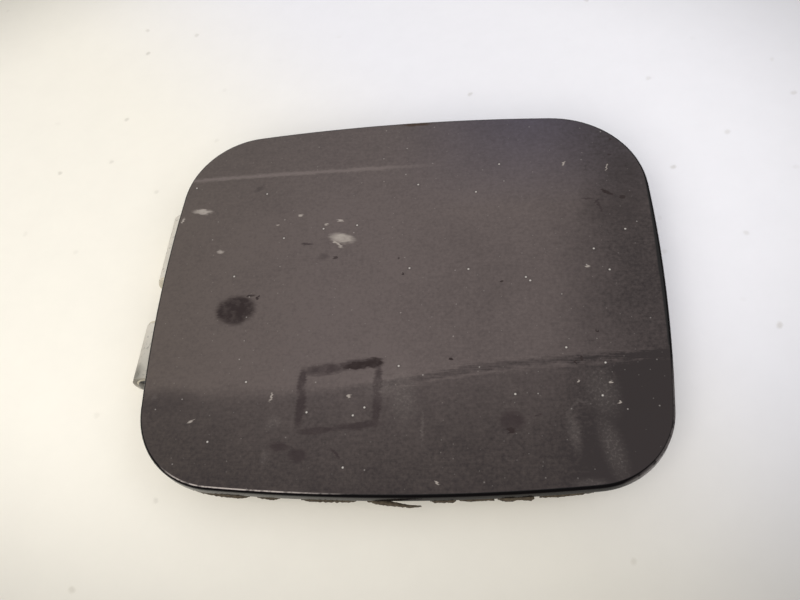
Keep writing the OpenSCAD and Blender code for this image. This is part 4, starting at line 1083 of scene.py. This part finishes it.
spring_low, spring_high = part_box("torsion_spring")
coil_half = (spring_high.y - spring_low.y) / 2 / MM - WIRE_R
arm_leg_rise = spring_high.z / MM - WIRE_R - HINGE_AXIS.z
path = [
    (Vector((BASE_LEG - t * (BASE_LEG - 1), -coil_half, -COIL_R)), Vector((0, 0, -1)))
    for t in (0, 0.5)
]
sweep = math.pi + 2 * math.pi * COIL_TURNS
steps = round(COIL_STEPS * sweep / (2 * math.pi))
for i in range(steps + 1):
    turn = -math.pi / 2 - sweep * i / steps
    out = Vector((math.cos(turn), 0, math.sin(turn)))
    path.append((COIL_R * out + Vector((0, 2 * coil_half * (i / steps - 0.5), 0)), out))
for t in (0.5, 1):
    rise = COIL_R + t * (arm_leg_rise - COIL_R)
    path.append((Vector((t * ARM_LEG, coil_half, rise)), Vector((0, 0, 1))))
wire = [
    [
        HINGE_AXIS + centre + WIRE_R * (math.cos(a) * out + math.sin(a) * Vector((0, 1, 0)))
        for a in [math.tau * k / WIRE_SIDES for k in range(WIRE_SIDES)]
    ]
    for centre, out in path
]
spring = skin_of_rings("wound_spring", wire, Matrix.Scale(MM, 4))

# Hardened spring wire, wound and oiled: nearly black, with the sharp shine of an oily metal
oiled, tree, shader = new_material("oiled_spring_wire", {"Metallic": 1.0})
place = in_mm(tree)
oil = add(tree, "TexNoise", {"Vector": place, "Scale": 1 / OIL_SPOT, "Detail": 3.0})
tint = add(
    tree, "Mix",
    {0: oil, 6: linear(WIRE_STEEL[0]), 7: linear(WIRE_STEEL[1])},
    out=2, data_type="RGBA",
)
tree.links.new(tint, shader.inputs["Base Color"])
rough = add(tree, "MapRange", {"Value": oil, "To Min": 0.22, "To Max": 0.4})
tree.links.new(rough, shader.inputs["Roughness"])
spring.data.materials.append(oiled)
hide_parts("torsion_spring")
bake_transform(spring)


# Latch striker
# A bent steel strap riveted under the free edge. The lock's pin goes through its eye when the
# door is shut. It was passivated yellow after plating.
PASSIVATED = ("#A08B4E", "#C2B078")
PASSIVATE_PATCH = 6.0

# Zinc plating dipped in yellow passivate: a patchy gold tint over a metal's soft shine
passivate, tree, shader = new_material("yellow_passivated_zinc", {"Metallic": 0.9})
place = in_mm(tree)
patches = add(tree, "TexNoise", {"Vector": place, "Scale": 1 / PASSIVATE_PATCH, "Detail": 4.0})
tint = add(
    tree, "Mix",
    {0: patches, 6: linear(PASSIVATED[0]), 7: linear(PASSIVATED[1])},
    out=2, data_type="RGBA",
)
tree.links.new(tint, shader.inputs["Base Color"])
rough = add(tree, "MapRange", {"Value": patches, "To Min": 0.3, "To Max": 0.5})
tree.links.new(rough, shader.inputs["Roughness"])
finish_node("latch_striker", passivate, bevel=0.25)


# Rubber bumpers
# Four moulded rubber stops, pushed through holes in the inner panel and held by their barbs.
# They cushion the closed door.
RUBBER = ("#161616", "#242322")
RUBBER_BLOOM = 3.5

# Black rubber as moulded: almost no shine, with a greyish bloom in patches
rubber, tree, shader = new_material("moulded_black_rubber", {"Roughness": 0.8})
place = in_mm(tree)
bloom = add(tree, "TexNoise", {"Vector": place, "Scale": 1 / RUBBER_BLOOM, "Detail": 4.0})
tint = add(tree, "Mix", {0: bloom, 6: linear(RUBBER[0]), 7: linear(RUBBER[1])}, out=2, data_type="RGBA")
tree.links.new(tint, shader.inputs["Base Color"])
for side in ("hinge", "free"):
    for end in ("far", "near"):
        finish_node(f"bumper_{side}_{end}", rubber)


# Cap holder
# A fork moulded in black plastic, snapped into the dish of the inner panel. It holds the fuel
# cap by its grip while the car is filled.
HOLDER = ("#1C1C1D", "#29292A")
HOLDER_GRAIN = 0.5
HOLDER_RAISED = 0.03

# Polypropylene from a grained mould: black with a fine, soft grain and a dull sheen
plastic, tree, shader = new_material("moulded_black_polypropylene", {"Roughness": 0.55, "IOR": 1.49})
place = in_mm(tree)
grain = add(tree, "TexNoise", {"Vector": place, "Scale": 1 / HOLDER_GRAIN, "Detail": 1.0})
tint = add(tree, "Mix", {0: grain, 6: linear(HOLDER[0]), 7: linear(HOLDER[1])}, out=2, data_type="RGBA")
tree.links.new(tint, shader.inputs["Base Color"])
bump = add(tree, "Bump", {"Height": grain, "Strength": 0.3, "Distance": HOLDER_RAISED * MM})
tree.links.new(bump, shader.inputs["Normal"])
finish_node("cap_holder", plastic, bevel=0.2)
